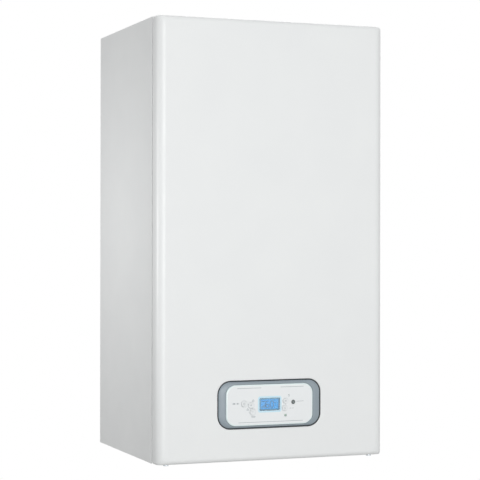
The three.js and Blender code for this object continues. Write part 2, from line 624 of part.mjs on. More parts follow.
/** Grey frame in the cover's window: a flat plate behind the cover and a ring that rises to the fascia. */
function controlSurround() {
  const plate = block(housingX, [PLATE_FRONT, PLATE_BACK], [HOUSING_BOTTOM, HOUSING_TOP]);
  const ring = (grow, y) => [roundedPoints(
    SURROUND_WIDTH + 2 * grow, SURROUND_HEIGHT + 2 * grow, SURROUND_RADIUS + grow, [PANEL_X, PANEL_Z]), y];
  const rise = loft([
    [fasciaOutline(1.2), FRONT - SURROUND_RISE], ring(-1.2, FRONT - 0.2), ring(0, FRONT + 0.9),
    ring(0, PLATE_BACK)]);
  const seat = slab(new THREE.Shape(fasciaOutline(GAP)), [FRONT - 20, PLATE_BACK + 1]);
  return cut(join(plate, rise), seat);
}

/** The fascia's outline, grown by a margin. */
const fasciaOutline = (margin) => roundedPoints(
  FASCIA_WIDTH + 2 * margin, FASCIA_HEIGHT + 2 * margin, FASCIA_RADIUS + margin, [PANEL_X, FASCIA_Z],
  FASCIA_BOW);

const controlPlace = ([dx, dz]) => [PANEL_X + dx, PANEL_Z + dz];

function fascia() {
  const back = FASCIA_FRONT + FASCIA_THICKNESS;
  const body = loft([
    [fasciaOutline(-2.2), FASCIA_FRONT], [fasciaOutline(-0.7), FASCIA_FRONT + 0.6],
    [fasciaOutline(0), FASCIA_FRONT + 2.1], [fasciaOutline(0), back]]);
  const hollow = slab(new THREE.Shape(fasciaOutline(-FASCIA_SHELL)), [FASCIA_FRONT + FASCIA_SHELL, back + 1]);
  const holes = Object.values(CONTROLS).map(([dx, dz, radius]) => rod(
    'y', radius + BUTTON_CLEARANCE, [FASCIA_FRONT - 1, back], controlPlace([dx, dz])));
  const pane = [DISPLAY_WIDTH / 2 + GAP, DISPLAY_HEIGHT / 2 + GAP];
  const opening = block(
    [PANEL_X - pane[0], PANEL_X + pane[0]], [FASCIA_FRONT - 1, back], [PANEL_Z - pane[1], PANEL_Z + pane[1]]);
  return cut(body, hollow, opening, ...holes);
}

function displayLens() {
  return block(
    [PANEL_X - DISPLAY_WIDTH / 2, PANEL_X + DISPLAY_WIDTH / 2],
    [FASCIA_FRONT + 0.3, FASCIA_FRONT + FASCIA_SHELL + 0.6],
    [PANEL_Z - DISPLAY_HEIGHT / 2, PANEL_Z + DISPLAY_HEIGHT / 2]);
}

const BOARD = { front: PLATE_BACK + 8, back: PLATE_BACK + 8 + BOARD_THICKNESS };

/** The display behind the lens, standing on the control board. */
function displayModule() {
  const front = FASCIA_FRONT + FASCIA_SHELL + 0.6 + GAP;
  const grow = 3;
  return block(
    [PANEL_X - DISPLAY_WIDTH / 2 - grow, PANEL_X + DISPLAY_WIDTH / 2 + grow], [front, BOARD.front - GAP],
    [PANEL_Z - DISPLAY_HEIGHT / 2 - grow, PANEL_Z + DISPLAY_HEIGHT / 2 + grow]);
}

/** Circuit board with its larger components on the rear face. */
function controlBoard() {
  const edge = HOUSING_WALL + BOARD_MARGIN;
  const sheet = block(
    [housingX[0] + edge, housingX[1] - edge], [BOARD.front, BOARD.back],
    [HOUSING_BOTTOM + edge, HOUSING_TOP - edge]);
  const lumps = BOARD_PARTS.map(([x, z, width, height, depth]) => block(
    [PANEL_X + x, PANEL_X + x + width], [BOARD.back - 0.2, BOARD.back + depth],
    [HOUSING_BOTTOM + z, HOUSING_BOTTOM + z + height]));
  const cans = BOARD_CANS.map(([x, z, radius]) => rod(
    'y', radius, [BOARD.back - 0.2, BOARD.back + CAN_HEIGHT], [PANEL_X + x, HOUSING_BOTTOM + z], 16));
  return join(sheet, ...lumps, ...cans);
}

/** A push button: a cap through the fascia with a collar behind it. */
function button(name) {
  const [dx, dz, radius] = CONTROLS[name];
  const front = FASCIA_FRONT - BUTTON_PROUD;
  const back = front + BUTTON_CAP;
  const profile = [
    [0, front], [radius - 0.8, front], [radius, front + 0.8], [radius, back - 1.2],
    [radius + 0.8, back - 1.2], [radius + 0.8, back], [0, back]];
  return turned('y', profile, controlPlace([dx, dz]), 14);
}

/** The lamp's clear light guide, from the fascia back to the board. */
function statusLamp() {
  const [dx, dz, radius] = CONTROLS.status_lamp;
  return join(
    rod('y', radius, [FASCIA_FRONT - 0.4, BOARD.front - GAP], controlPlace([dx, dz]), 16),
    rod('y', radius + 1, [FASCIA_FRONT + FASCIA_SHELL + GAP, FASCIA_FRONT + FASCIA_SHELL + 2],
      controlPlace([dx, dz]), 16));
}

// ---------------------------------------------------------------- heat cell and flue
/** Half of the vessel's section, from the axis at the front round to the axis at the back. */
function vesselProfile(inset) {
  const back = CHASSIS_FRONT - GAP - inset;
  const front = CHASSIS_FRONT - GAP - VESSEL_THICKNESS + inset;
  const middle = (back + front) / 2;
  const shoulder = VESSEL_RADIUS - VESSEL_DOME;
  const rim = VESSEL_RADIUS - VESSEL_SEAM - inset;
  const seam = inset ? [] : [
    [rim, middle - 2], [VESSEL_RADIUS, middle - 2], [VESSEL_RADIUS, middle + 2], [rim, middle + 2]];
  return [
    [0, front], [shoulder - 2 * VESSEL_DOME, front], [shoulder, front + 7], [rim, middle - 8], ...seam,
    [rim, middle + 8], [shoulder, back - 7], [shoulder - 2 * VESSEL_DOME, back], [0, back]];
}

/** Flat round expansion vessel with a rolled seam and its water port at the bottom left. */
function expansionVessel() {
  const axis = [0, VESSEL_Z];
  const middle = CHASSIS_FRONT - GAP - VESSEL_THICKNESS / 2;
  const port = (radius, end) => rod(
    'z', radius, [VESSEL_Z - VESSEL_RADIUS - end, VESSEL_Z - 0.8 * VESSEL_RADIUS], [VESSEL_PORT_X, middle]);
  return cut(
    join(turned('y', vesselProfile(0), axis, 28), port(8, -8)),
    turned('y', vesselProfile(VESSEL_WALL), axis, 28), port(5, -7));
}

/** The drum with its flue stub on top, two water ports and a condensate outlet below. */
function heatCell() {
  const axis = [0, CELL_Z];
  const stubTop = CELL_Z + CELL_RADIUS + CELL_STUB;
  const inner = CELL_RADIUS - CELL_WALL;
  const spigot = (x, y, radius, end) => rod('z', radius, [end, CELL_Z], [x, y]);
  const stubs = [
    spigot(0, -FLUE_BACK, FLUE_RADIUS - 3, stubTop), spigot(PORT_X, -PORT_BACK, PIPE_RADIUS + 3, PORT_Z),
    spigot(-PORT_X, -PORT_BACK, PIPE_RADIUS + 3, PORT_Z), spigot(TRAP_X, -TRAP_BACK, 12, PORT_Z)];
  const bores = [
    spigot(0, -FLUE_BACK, FLUE_RADIUS - 5, stubTop + 1), spigot(PORT_X, -PORT_BACK, PIPE_RADIUS, PORT_Z - 1),
    spigot(-PORT_X, -PORT_BACK, PIPE_RADIUS, PORT_Z - 1), spigot(TRAP_X, -TRAP_BACK, 9, PORT_Z - 1)];
  return cut(
    join(rod('y', CELL_RADIUS, [CELL_FRONT, -CELL_REAR], axis, 36), ...stubs), ...bores,
    rod('y', inner, [CELL_FRONT + CELL_WALL, -CELL_REAR - CELL_WALL], axis, 36),
    rod('y', CELL_MOUTH, [CELL_FRONT - 1, CELL_FRONT + CELL_WALL + 1], axis, 24));
}

/** The finned ring of tube inside the drum, one ridge for each turn. */
function heatCoil() {
  const outer = CELL_RADIUS - CELL_WALL - 1.2;
  const start = CELL_FRONT + CELL_WALL + 2;
  const pitch = (CELL_LENGTH - 2 * CELL_WALL - 4) / COIL_TURNS;
  const ridges = (crest, root, turn) => [
    [root, start + turn * pitch], [crest, start + (turn + 0.25) * pitch],
    [crest, start + (turn + 0.75) * pitch]];
  const outside = [];
  const inside = [];
  for (let turn = 0; turn < COIL_TURNS; turn++) {
    outside.push(...ridges(outer, outer - 5, turn));
    inside.push(...ridges(COIL_INNER, COIL_INNER + 4, turn));
  }
  const end = start + COIL_TURNS * pitch;
  const loop = [...outside, [outer - 5, end], [COIL_INNER + 4, end], ...inside.reverse()];
  return turned('y', [...loop, loop[0]], [0, CELL_Z], 20);
}

/** The cast door of the drum with the hood that turns the gas mixture into the burner. */
function burnerDoor() {
  const hood = block(
    [-HOOD_WIDTH / 2, HOOD_WIDTH / 2], [DOOR_FRONT - HOOD_DEPTH, DOOR_FRONT + 1],
    [CELL_Z - HOOD_HEIGHT / 2, CELL_Z + HOOD_HEIGHT / 2]);
  const inlet = rod('x', DUCT_RADIUS - DUCT_WALL, [0, HOOD_WIDTH / 2 + 1], [DUCT_Y, CELL_Z]);
  const mouth = rod('y', BURNER_RADIUS - 8, [DUCT_Y, DOOR_BACK + 1], [0, CELL_Z]);
  const electrode = rod('y', ELECTRODE_RADIUS + GAP, [DOOR_FRONT - 1, DOOR_BACK + 1],
    [ELECTRODE_X, CELL_Z - ELECTRODE_DROP]);
  const plate = rod('y', DOOR_RADIUS, [DOOR_FRONT, DOOR_BACK], [0, CELL_Z], 32);
  return cut(join(plate, hood), inlet, mouth, electrode);
}

/** The burner: a closed can with a flange that lies in the drum's mouth. */
function burner() {
  const back = CELL_FRONT + BURNER_LENGTH;
  const lip = CELL_FRONT + 1.8;
  const profile = [
    [CELL_MOUTH - GAP, CELL_FRONT], [CELL_MOUTH - GAP, lip], [BURNER_RADIUS, lip], [BURNER_RADIUS, back],
    [0, back], [0, back - SHEET], [BURNER_RADIUS - SHEET, back - SHEET],
    [BURNER_RADIUS - SHEET, CELL_FRONT]];
  const hole = rod(
    'y', ELECTRODE_RADIUS + GAP, [CELL_FRONT - 1, lip + 1], [ELECTRODE_X, CELL_Z - ELECTRODE_DROP]);
  return cut(turned('y', [...profile, profile[0]], [0, CELL_Z], 24), hole);
}

function ignitionElectrode() {
  const centre = [ELECTRODE_X, CELL_Z - ELECTRODE_DROP];
  return join(
    rod('y', ELECTRODE_RADIUS, [DOOR_FRONT - 22, CELL_FRONT + 4], centre, 16),
    rod('y', ELECTRODE_RADIUS + 3, [DOOR_FRONT - 6, DOOR_FRONT - GAP], centre, 16),
    rod('y', 1.5, [CELL_FRONT + 3, CELL_FRONT + 32], centre, 8));
}

/** The flue pipe between the drum's stub and the collar. */
function flueSleeve() {
  const stubTop = CELL_Z + CELL_RADIUS + CELL_STUB;
  const span = [stubTop - 14, COLLAR.bottom - GAP];
  return sleeve('z', FLUE_RADIUS, FLUE_RADIUS - 3 + GAP, span, [0, -FLUE_BACK], 24);
}

const COLLAR = { bottom: TOP_UNDER - 12, flange: AIR_RADIUS + 18, thickness: 3, wall: 2 };

/** Concentric collar on the top panel: air socket outside, flue socket inside, joined by three webs. */
function flueCollar() {
  const axis = [0, -FLUE_BACK];
  const top = CASE_HEIGHT + FLUE_SOCKET;
  const seat = CASE_HEIGHT + GAP;
  const webs = [0, 1, 2].map((i) => solid(new THREE.BoxGeometry(AIR_RADIUS - FLUE_RADIUS, 2, 16)
    .translate((AIR_RADIUS + FLUE_RADIUS) / 2 - COLLAR.wall / 2, 0, COLLAR.bottom + 10)
    .rotateZ((2 * Math.PI * i) / 3).translate(0, -FLUE_BACK, 0)));
  return join(
    sleeve('z', COLLAR.flange, AIR_RADIUS - 1, [seat, seat + COLLAR.thickness], axis, 24),
    sleeve('z', AIR_RADIUS, AIR_RADIUS - COLLAR.wall, [COLLAR.bottom, top], axis, 24),
    sleeve('z', FLUE_RADIUS, FLUE_RADIUS - COLLAR.wall, [COLLAR.bottom, top], axis, 24), ...webs);
}

// ---------------------------------------------------------------- fan, mixture and gas
function fanHousing() {
  const axis = [FAN_X, FAN_Z];
  const outlet = [DUCT_X, DUCT_Y];
  const top = FAN_Z + FAN_RADIUS + FAN_COLLAR;
  const whole = join(
    rod('y', FAN_RADIUS, [FAN_FRONT, -FAN_REAR], axis, 28), rod('z', DUCT_RADIUS, [FAN_Z, top], outlet));
  return cut(
    whole,
    rod('y', FAN_RADIUS - FAN_WALL, [FAN_FRONT + FAN_WALL, -FAN_REAR - FAN_WALL], axis, 28),
    rod('z', DUCT_RADIUS - DUCT_WALL, [FAN_Z, top + 1], outlet),
    rod('y', VENTURI_RADIUS - 5, [-FAN_REAR - FAN_WALL - 1, -FAN_REAR + 1], axis),
    rod('y', 5, [FAN_FRONT - 1, FAN_FRONT + FAN_WALL + 1], axis, 16));
}

/** The fan wheel: a disc with upright blades and a shaft into the motor. */
function fanImpeller() {
  const reach = FAN_RADIUS - FAN_WALL - 4;
  const disc = [FAN_FRONT + FAN_WALL + 2, FAN_FRONT + FAN_WALL + 4];
  const depth = FAN_DEPTH - 2 * FAN_WALL - 8;
  const blades = Array.from({ length: FAN_BLADES }, (_, i) => solid(
    new THREE.BoxGeometry(FAN_BLADE_LENGTH, depth, 1.6)
      .translate(reach - 0.5 - FAN_BLADE_LENGTH / 2, disc[1] - 0.2 + depth / 2, 0)
      .rotateY((2 * Math.PI * i) / FAN_BLADES).translate(FAN_X, 0, FAN_Z)));
  const axis = [FAN_X, FAN_Z];
  return join(
    rod('y', reach, disc, axis, 28), rod('y', 10, [disc[0], disc[1] + 14], axis, 16),
    rod('y', 3, [FAN_FRONT - 16, disc[0] + 1], axis, 12), ...blades);
}

function fanMotor() {
  const axis = [FAN_X, FAN_Z];
  const back = FAN_FRONT - GAP;
  const can = join(
    rod('y', FAN_MOTOR_RADIUS, [back - FAN_MOTOR_LENGTH * 0.7, back], axis, 24),
    rod('y', FAN_MOTOR_RADIUS - 8, [back - FAN_MOTOR_LENGTH, back], axis, 24),
    block([FAN_X - 14, FAN_X + 14], [back - 16, back], [FAN_Z - FAN_MOTOR_RADIUS - 8, FAN_Z]));
  return cut(can, rod('y', 3 + GAP, [back - 18, back + 1], axis, 16));
}

/** Mixing venturi on the fan's inlet, with the gas inlet boss reaching down to the gas valve. */
function venturi() {
  const front = -FAN_REAR + GAP;
  const throat = VENTURI_RADIUS - 12;
  const length = VENTURI_LENGTH;
  const profile = [
    [VENTURI_RADIUS, front], [VENTURI_RADIUS, front + 6], [throat + 6, front + length / 2],
    [VENTURI_RADIUS, VENTURI_BACK - 6], [VENTURI_RADIUS, VENTURI_BACK], [VENTURI_RADIUS - 6, VENTURI_BACK],
    [throat, front + length / 2], [VENTURI_RADIUS - 6, front]];
  const bottom = GAS_VALVE_Z + GAS_VALVE_HEIGHT + GAP;
  const boss = rod('z', GAS_PIPE_RADIUS, [bottom, FAN_Z - throat - 2], [FAN_X, VENTURI_MIDDLE], 16);
  return cut(
    join(turned('y', [...profile, profile[0]], [FAN_X, FAN_Z]), boss),
    rod('z', GAS_PIPE_RADIUS - 3, [bottom - 1, FAN_Z], [FAN_X, VENTURI_MIDDLE], 12));
}

function mixtureDuct() {
  const start = FAN_Z + FAN_RADIUS + FAN_COLLAR + GAP;
  return pipe(
    [[DUCT_X, DUCT_Y, start], [DUCT_X, DUCT_Y, CELL_Z], [HOOD_WIDTH / 2 + GAP, DUCT_Y, CELL_Z]],
    DUCT_BEND, DUCT_RADIUS, { wall: DUCT_WALL, sides: 14 });
}

/** Plastic air pipe from high in the casing, past the drum's side, down to the venturi. */
function airSilencer() {
  return pipe(
    [[FAN_X, VENTURI_BACK + GAP, FAN_Z], [FAN_X, SILENCER_Y, FAN_Z],
      [SILENCER_X, SILENCER_Y, FAN_Z + SILENCER_SHIFT], [SILENCER_X, SILENCER_Y, SILENCER_TOP]],
    SILENCER_RADIUS + 6, SILENCER_RADIUS, { wall: DUCT_WALL, sides: 14 });
}

/** Gas valve: a die-cast body with two solenoids on its front and threaded bosses above and below. */
function gasValve() {
  const width = [FAN_X - GAS_VALVE_WIDTH / 2, FAN_X + GAS_VALVE_WIDTH / 2];
  const depth = [-GAS_VALVE_BACK - GAS_VALVE_DEPTH, -GAS_VALVE_BACK];
  const height = [GAS_VALVE_Z, GAS_VALVE_Z + GAS_VALVE_HEIGHT];
  const solenoids = SOLENOID_HEIGHTS.map((z) => rod(
    'y', SOLENOID_RADIUS, [depth[0] - SOLENOID_LENGTH, depth[0] + 1], [FAN_X, GAS_VALVE_Z + z], 20));
  return join(block(width, depth, height), ...solenoids);
}

/** Gas pipe from the middle tail under the casing up to the gas valve. */
function gasSupplyPipe() {
  const low = MANIFOLD_Z + GAS_PIPE_RISE;
  const high = GAS_VALVE_Z - GAS_PIPE_DROP;
  const tube = pipe(
    [[0, TAIL_Y, TAIL_END], [0, TAIL_Y, low], [0, -GAS_PIPE_FRONT, low], [0, -GAS_PIPE_FRONT, high],
      [FAN_X, -GAS_PIPE_FRONT, high], [FAN_X, -GAS_PIPE_FRONT, GAS_VALVE_Z - GAP]],
    GAS_PIPE_BEND, GAS_PIPE_RADIUS, { wall: PIPE_WALL });
  const nut = sleeve(
    'z', GAS_PIPE_RADIUS + 5, GAS_PIPE_RADIUS - 1, [TAIL_END + 2, TAIL_END + 18], [0, TAIL_Y], 6);
  return join(tube, nut);
}

/** The ignition transformer on the right side panel, with a nose for the electrode's lead. */
function sparkGenerator() {
  const bottom = FAN_Z - SPARK_DROP;
  const front = -SPARK_BACK - SPARK_DEPTH;
  return join(
    block([INSIDE - SPARK_WIDTH, INSIDE], [front, -SPARK_BACK], [bottom, bottom + SPARK_HEIGHT]),
    rod('y', SPARK_NOSE_RADIUS, [front - SPARK_NOSE, front + 1],
      [INSIDE - SPARK_WIDTH / 2, bottom + SPARK_HEIGHT / 2], 12));
}

// ---------------------------------------------------------------- water side
const FILLER = { x: 1.5 * TAIL_PITCH, radius: 8, bottom: 20 };
const RELIEF = { spout: 7, spoutY: MANIFOLD_FRONT - 16, length: 30, knobLength: 20 };

/** A cast manifold on two of the tails, left or right of the middle one. */
function manifoldBody(side) {
  const x = [side * (TAIL_PITCH - MANIFOLD_OVERHANG), side * (OUTER_TAIL + MANIFOLD_OVERHANG)];
  const body = block(
    [Math.min(...x), Math.max(...x)], [MANIFOLD_FRONT, -MANIFOLD_REAR], [MANIFOLD_Z, MANIFOLD_TOP]);
  const tails = [1, 2].map((place) => rod(
    'z', TAIL_RADIUS, [TAIL_END, MANIFOLD_Z + 1], [side * place * TAIL_PITCH, TAIL_Y]));
  const bores = [1, 2].map((place) => rod(
    'z', TAIL_BORE, [TAIL_END - 1, MANIFOLD_Z + 16], [side * place * TAIL_PITCH, TAIL_Y]));
  return cut(join(body, ...tails), ...bores);
}

/** Left manifold: heating flow and hot water, with the diverter chamber opening to the front. */
function flowManifold() {
  const chamber = rod(
    'y', CHAMBER_RADIUS, [MANIFOLD_FRONT - 1, -MANIFOLD_REAR - 10], [-OUTER_TAIL, MANIFOLD_MIDDLE_Z + 8]);
  const entry = rod(
    'z', PIPE_RADIUS - PIPE_WALL, [MANIFOLD_TOP - 14, MANIFOLD_TOP + 1], [FLOW_PIPE_X, -PIPE_ENTRY_BACK]);
  return cut(manifoldBody(-1), chamber, entry);
}

/** Right manifold: cold water and heating return, with the filling valve's body below. */
function returnManifold() {
  const filler = rod('z', FILLER.radius, [FILLER.bottom, MANIFOLD_Z + 1], [FILLER.x, TAIL_Y]);
  return join(manifoldBody(1), filler);
}

/** The filling tap's knob under the casing. */
function fillingKnob() {
  const centre = [FILLER.x, TAIL_Y];
  const top = FILLER.bottom - GAP;
  return join(
    rod('z', KNOB_RADIUS, [TAIL_END, top - 5], centre, 10), rod('z', 6, [top - 6, top], centre, 16));
}

/** The little wheel in the cold-water tail that tells the board that a tap is open. */
function flowTurbine() {
  const reach = TAIL_BORE - 1;
  const z = MANIFOLD_Z - 18;
  const blades = [0, 1, 2, 3].map((i) => solid(new THREE.BoxGeometry(reach, 1.2, 5)
    .translate(reach / 2, 0, 0).rotateX(0.5).rotateZ((Math.PI * i) / 2).translate(TAIL_PITCH, TAIL_Y, z)));
  return join(rod('z', 2.2, [z - 7, z + 7], [TAIL_PITCH, TAIL_Y], 12), ...blades);
}

/** Brazed stack of plates between the manifolds. */
function plateExchanger() {
  const left = EXCHANGER_INSET - OUTER_TAIL - MANIFOLD_OVERHANG;
  const front = -MANIFOLD_REAR - EXCHANGER_LAP;
  const x = [left, left + EXCHANGER_LENGTH];
  const y = [front, front + EXCHANGER_DEPTH];
  const bottom = MANIFOLD_TOP + GAP;
  const plates = Array.from({ length: EXCHANGER_PLATES }, (_, i) => block(
    x, y, [bottom + i * PLATE_PITCH, bottom + i * PLATE_PITCH + PLATE_THICKNESS]));
  const core = block(
    [x[0] + PLATE_THICKNESS, x[1] - PLATE_THICKNESS], [y[0] + PLATE_THICKNESS, y[1] - PLATE_THICKNESS],
    [bottom + 1, bottom + (EXCHANGER_PLATES - 1) * PLATE_PITCH + 1]);
  return join(core, ...plates);
}

function pumpVolute() {
  const axis = [PUMP_X, PUMP_Z];
  const outletTop = PUMP_Z + PUMP_RADIUS + PUMP_NECK;
  const back = MANIFOLD_FRONT + PUMP_DEPTH;
  return cut(
    join(
      rod('y', PUMP_RADIUS, [MANIFOLD_FRONT, back], axis, 24),
      rod('z', PIPE_RADIUS + 4, [PUMP_Z, outletTop], [PUMP_X, -PIPE_ENTRY_BACK])),
    rod('y', PUMP_CAVITY, [MANIFOLD_FRONT - 1, back - 6], axis, 24),
    rod('z', PIPE_RADIUS - PIPE_WALL, [PUMP_Z, outletTop + 1], [PUMP_X, -PIPE_ENTRY_BACK]));
}

/** Pump wheel: two discs with blades between them, and a shaft into the motor. */
function pumpImpeller() {
  const reach = PUMP_CAVITY - 4;
  const front = MANIFOLD_FRONT + 4;
  const axis = [PUMP_X, PUMP_Z];
  const blades = Array.from({ length: 6 }, (_, i) => solid(new THREE.BoxGeometry(21, 12, 1.6)
    .translate(reach - 12.4, front + 8.1, 0).rotateY((Math.PI * i) / 3).translate(PUMP_X, 0, PUMP_Z)));
  return join(
    rod('y', reach, [front, front + 2.5], axis, 24),
    sleeve('y', reach, 12, [front + 13, front + 15.5], axis, 24),
    rod('y', 8, [front, front + 12], axis, 16),
    rod('y', 3.5, [MANIFOLD_FRONT - 18, front + 1], axis, 12), ...blades);
}

function pumpMotor() {
  const axis = [PUMP_X, PUMP_Z];
  const back = MANIFOLD_FRONT - GAP;
  const front = back - PUMP_MOTOR_LENGTH;
  const body = join(
    rod('y', PUMP_MOTOR_RADIUS, [front + 14, back], axis, 24),
    rod('y', PUMP_MOTOR_RADIUS - 9, [front, back], axis, 24),
    block([PUMP_X - PUMP_BOX_WIDTH / 2, PUMP_X + PUMP_BOX_WIDTH / 2], [front + 18, back - 12],
      [PUMP_Z, PUMP_BOX_TOP]));
  return cut(body, rod('y', 3.5 + GAP, [back - 20, back + 1], axis, 16));
}

/** The diverter's closing plug on its stem, inside the flow manifold. */
function diverterSpindle() {
  const axis = [-OUTER_TAIL, MANIFOLD_MIDDLE_Z + 8];
  const plug = MANIFOLD_FRONT + 14;
  return join(
    rod('y', CHAMBER_RADIUS - 0.5, [plug, plug + 7], axis, 20),
    rod('y', 4, [MANIFOLD_FRONT - 14, plug + 1], axis, 16));
}

function diverterMotor() {
  const [x, z] = [-OUTER_TAIL, MANIFOLD_MIDDLE_Z + 8];
  const back = MANIFOLD_FRONT - GAP;
  const body = join(
    rod('y', CHAMBER_RADIUS + 4, [back - 14, back], [x, z]),
    block([x - 20, x + 20], [back - 40, back - 13], [z - 20, z + 24]));
  return cut(body, rod('y', 4 + GAP, [back - 14 - DIVERTER_TRAVEL - 4, back + 1], [x, z], 16));
}

/** Safety valve on the return manifold, with its spout down through the tray. */
function reliefValve() {
  const back = MANIFOLD_FRONT - GAP;
  const spout = [RELIEF_X, RELIEF.spoutY];
  return cut(
    join(
      rod('y', RELIEF_RADIUS, [back - RELIEF.length, back], [RELIEF_X, MANIFOLD_MIDDLE_Z], 20),
      rod('z', RELIEF.spout, [TAIL_END + 4, MANIFOLD_MIDDLE_Z], spout, 16)),
    rod('z', RELIEF.spout - 2.5, [TAIL_END, MANIFOLD_MIDDLE_Z], spout));
}

/** Ribbed knob that opens the safety valve by hand. */
function reliefKnob() {
  const back = MANIFOLD_FRONT - 2 * GAP - RELIEF.length;
  const axis = [RELIEF_X, MANIFOLD_MIDDLE_Z];
  const ribs = Array.from({ length: 8 }, (_, i) => solid(new THREE.BoxGeometry(4, RELIEF.knobLength - 3, 4)
    .translate(RELIEF_RADIUS, back - RELIEF.knobLength / 2, 0)
    .rotateY((Math.PI * i) / 4).translate(RELIEF_X, 0, MANIFOLD_MIDDLE_Z)));
  return join(rod('y', RELIEF_RADIUS, [back - RELIEF.knobLength, back], axis, 20), ...ribs);
}

/** Automatic air vent standing on the flow manifold. */
function airVent() {
  const centre = [-OUTER_TAIL + 10, -PIPE_ENTRY_BACK];
  const foot = MANIFOLD_TOP + GAP;
  return join(
    rod('z', 8, [foot, foot + 10], centre, 16), rod('z', 12, [foot + 9, foot + 48], centre, 20),
    rod('z', 4, [foot + 47, foot + 56], centre, 12));
}

function flowPipe() {
  return pipe(
    [[-PORT_X, -PORT_BACK, PORT_Z - GAP], [-PORT_X, -PORT_BACK, PORT_Z - PIPE_RUN],
      [FLOW_PIPE_X, -PIPE_ENTRY_BACK, PORT_Z - FLOW_PIPE_RUN],
      [FLOW_PIPE_X, -PIPE_ENTRY_BACK, MANIFOLD_TOP + GAP]],
    PIPE_BEND, PIPE_RADIUS, { wall: PIPE_WALL });
}

function returnPipe() {
  return pipe(
    [[PUMP_X, -PIPE_ENTRY_BACK, PUMP_Z + PUMP_RADIUS + PUMP_NECK + GAP],
      [PUMP_X, -PIPE_ENTRY_BACK, PORT_Z - PIPE_RUN],
      [PORT_X, -PORT_BACK, PORT_Z - RETURN_PIPE_RUN], [PORT_X, -PORT_BACK, PORT_Z - GAP]],
    PIPE_BEND, PIPE_RADIUS, { wall: PIPE_WALL });
}

/** Bottle trap under the drum that keeps the flue gas in. */
function condensateTrap() {
  const top = PORT_Z - GAP;
  const bottom = top - TRAP_HEIGHT;
  const profile = [
    [0, bottom], [HOSE_RADIUS, bottom], [HOSE_RADIUS, bottom + 10], [TRAP_RADIUS - 4, bottom + 10],
    [TRAP_RADIUS, bottom + 16], [TRAP_RADIUS, top - 26], [TRAP_RADIUS - 6, top - 20], [14, top - 20],
    [14, top], [0, top]];
  return turned('z', profile, [TRAP_X, -TRAP_BACK]);
}

function drainHose() {
  const top = PORT_Z - 2 * GAP - TRAP_HEIGHT;
  return pipe(
    [[TRAP_X, -TRAP_BACK, top], [TRAP_X, -TRAP_BACK, top - HOSE_DROP],
      [HOSE_X, -TRAP_BACK, top - HOSE_DROP - HOSE_FALL], [HOSE_X, -TRAP_BACK, TAIL_END]],
    HOSE_BEND, HOSE_RADIUS, { wall: 2 });
}

// ---------------------------------------------------------------- colours and the finished group
const PAINT = [0xe6e8e8, 0.45, 0.0];
const ZINC = [0xb9bdc0, 0.45, 0.7];
const RUBBER = [0x2b2d30, 0.85, 0.0];
const GREY_PLASTIC = [0x919ea6, 0.5, 0.0];
const WHITE_PLASTIC = [0xe8eaeb, 0.4, 0.0];
const DARK_PLASTIC = [0x33373b, 0.6, 0.0];
const COPPER = [0xb87850, 0.35, 0.9];
const BRASS = [0xb39a5c, 0.4, 0.9];
const CASTING = [0xa9adb0, 0.55, 0.8];
const STEEL = [0xc3c7ca, 0.35, 0.9];

const boiler = new THREE.Group();
boiler.position.z = -RAIL_Z;

function add(name, body, [color, roughness, metalness]) {
  const mesh = body.getMesh();
  const geometry = new THREE.BufferGeometry();
  geometry.setAttribute('position', new THREE.Float32BufferAttribute(mesh.vertProperties, 3));
  geometry.setIndex([...mesh.triVerts]);
  geometry.computeVertexNormals();
  const piece = new THREE.Mesh(geometry, new THREE.MeshStandardMaterial({ color, roughness, metalness }));
  piece.name = name;
  boiler.add(piece);
}

add('wall_bracket', wallBracket(), ZINC);
add('back_panel', backPanel(), ZINC);
add('side_panel_left', sidePanel(-1), PAINT);
add('side_panel_right', sidePanel(1), PAINT);
add('top_panel', topPanel(), PAINT);
add('bottom_tray', bottomTray(), ZINC);
add('front_frame', frontFrame(), ZINC);
add('cover_seal', coverSeal(), RUBBER);
add('front_cover', frontCover(), PAINT);
add('cover_screw_left', coverScrew(-1), ZINC);
add('cover_screw_right', coverScrew(1), ZINC);

add('control_housing', controlHousing(), DARK_PLASTIC);
add('hinge_pin_left', hingePin(-1), ZINC);
add('hinge_pin_right', hingePin(1), ZINC);
add('control_surround', controlSurround(), GREY_PLASTIC);
add('fascia', fascia(), WHITE_PLASTIC);
add('display_lens', displayLens(), [0x5fb8f0, 0.2, 0.0]);
add('display_module', displayModule(), DARK_PLASTIC);
add('control_board', controlBoard(), [0x2f6b45, 0.6, 0.0]);
for (const name of ['mode_button', 'plus_button', 'minus_button', 'heating_button', 'water_button']) {
  add(name, button(name), WHITE_PLASTIC);
}
add('reset_button', button('reset_button'), [0x6e7876, 0.6, 0.0]);
add('status_lamp', statusLamp(), [0x7ea88e, 0.3, 0.0]);

add('expansion_vessel', expansionVessel(), [0xa8322a, 0.5, 0.2]);
add('heat_cell', heatCell(), CASTING);
add('heat_coil', heatCoil(), STEEL);
add('burner_door', burnerDoor(), CASTING);
add('burner', burner(), STEEL);
add('ignition_electrode', ignitionElectrode(), [0xe9e4d8, 0.4, 0.0]);
add('spark_generator', sparkGenerator(), DARK_PLASTIC);
add('flue_sleeve', flueSleeve(), [0xdedede, 0.5, 0.0]);
add('flue_collar', flueCollar(), DARK_PLASTIC);

add('fan_housing', fanHousing(), CASTING);
add('fan_impeller', fanImpeller(), CASTING);
add('fan_motor', fanMotor(), DARK_PLASTIC);
add('venturi', venturi(), CASTING);
add('mixture_duct', mixtureDuct(), DARK_PLASTIC);
add('air_silencer', airSilencer(), DARK_PLASTIC);
add('gas_valve', gasValve(), CASTING);
add('gas_supply_pipe', gasSupplyPipe(), STEEL);

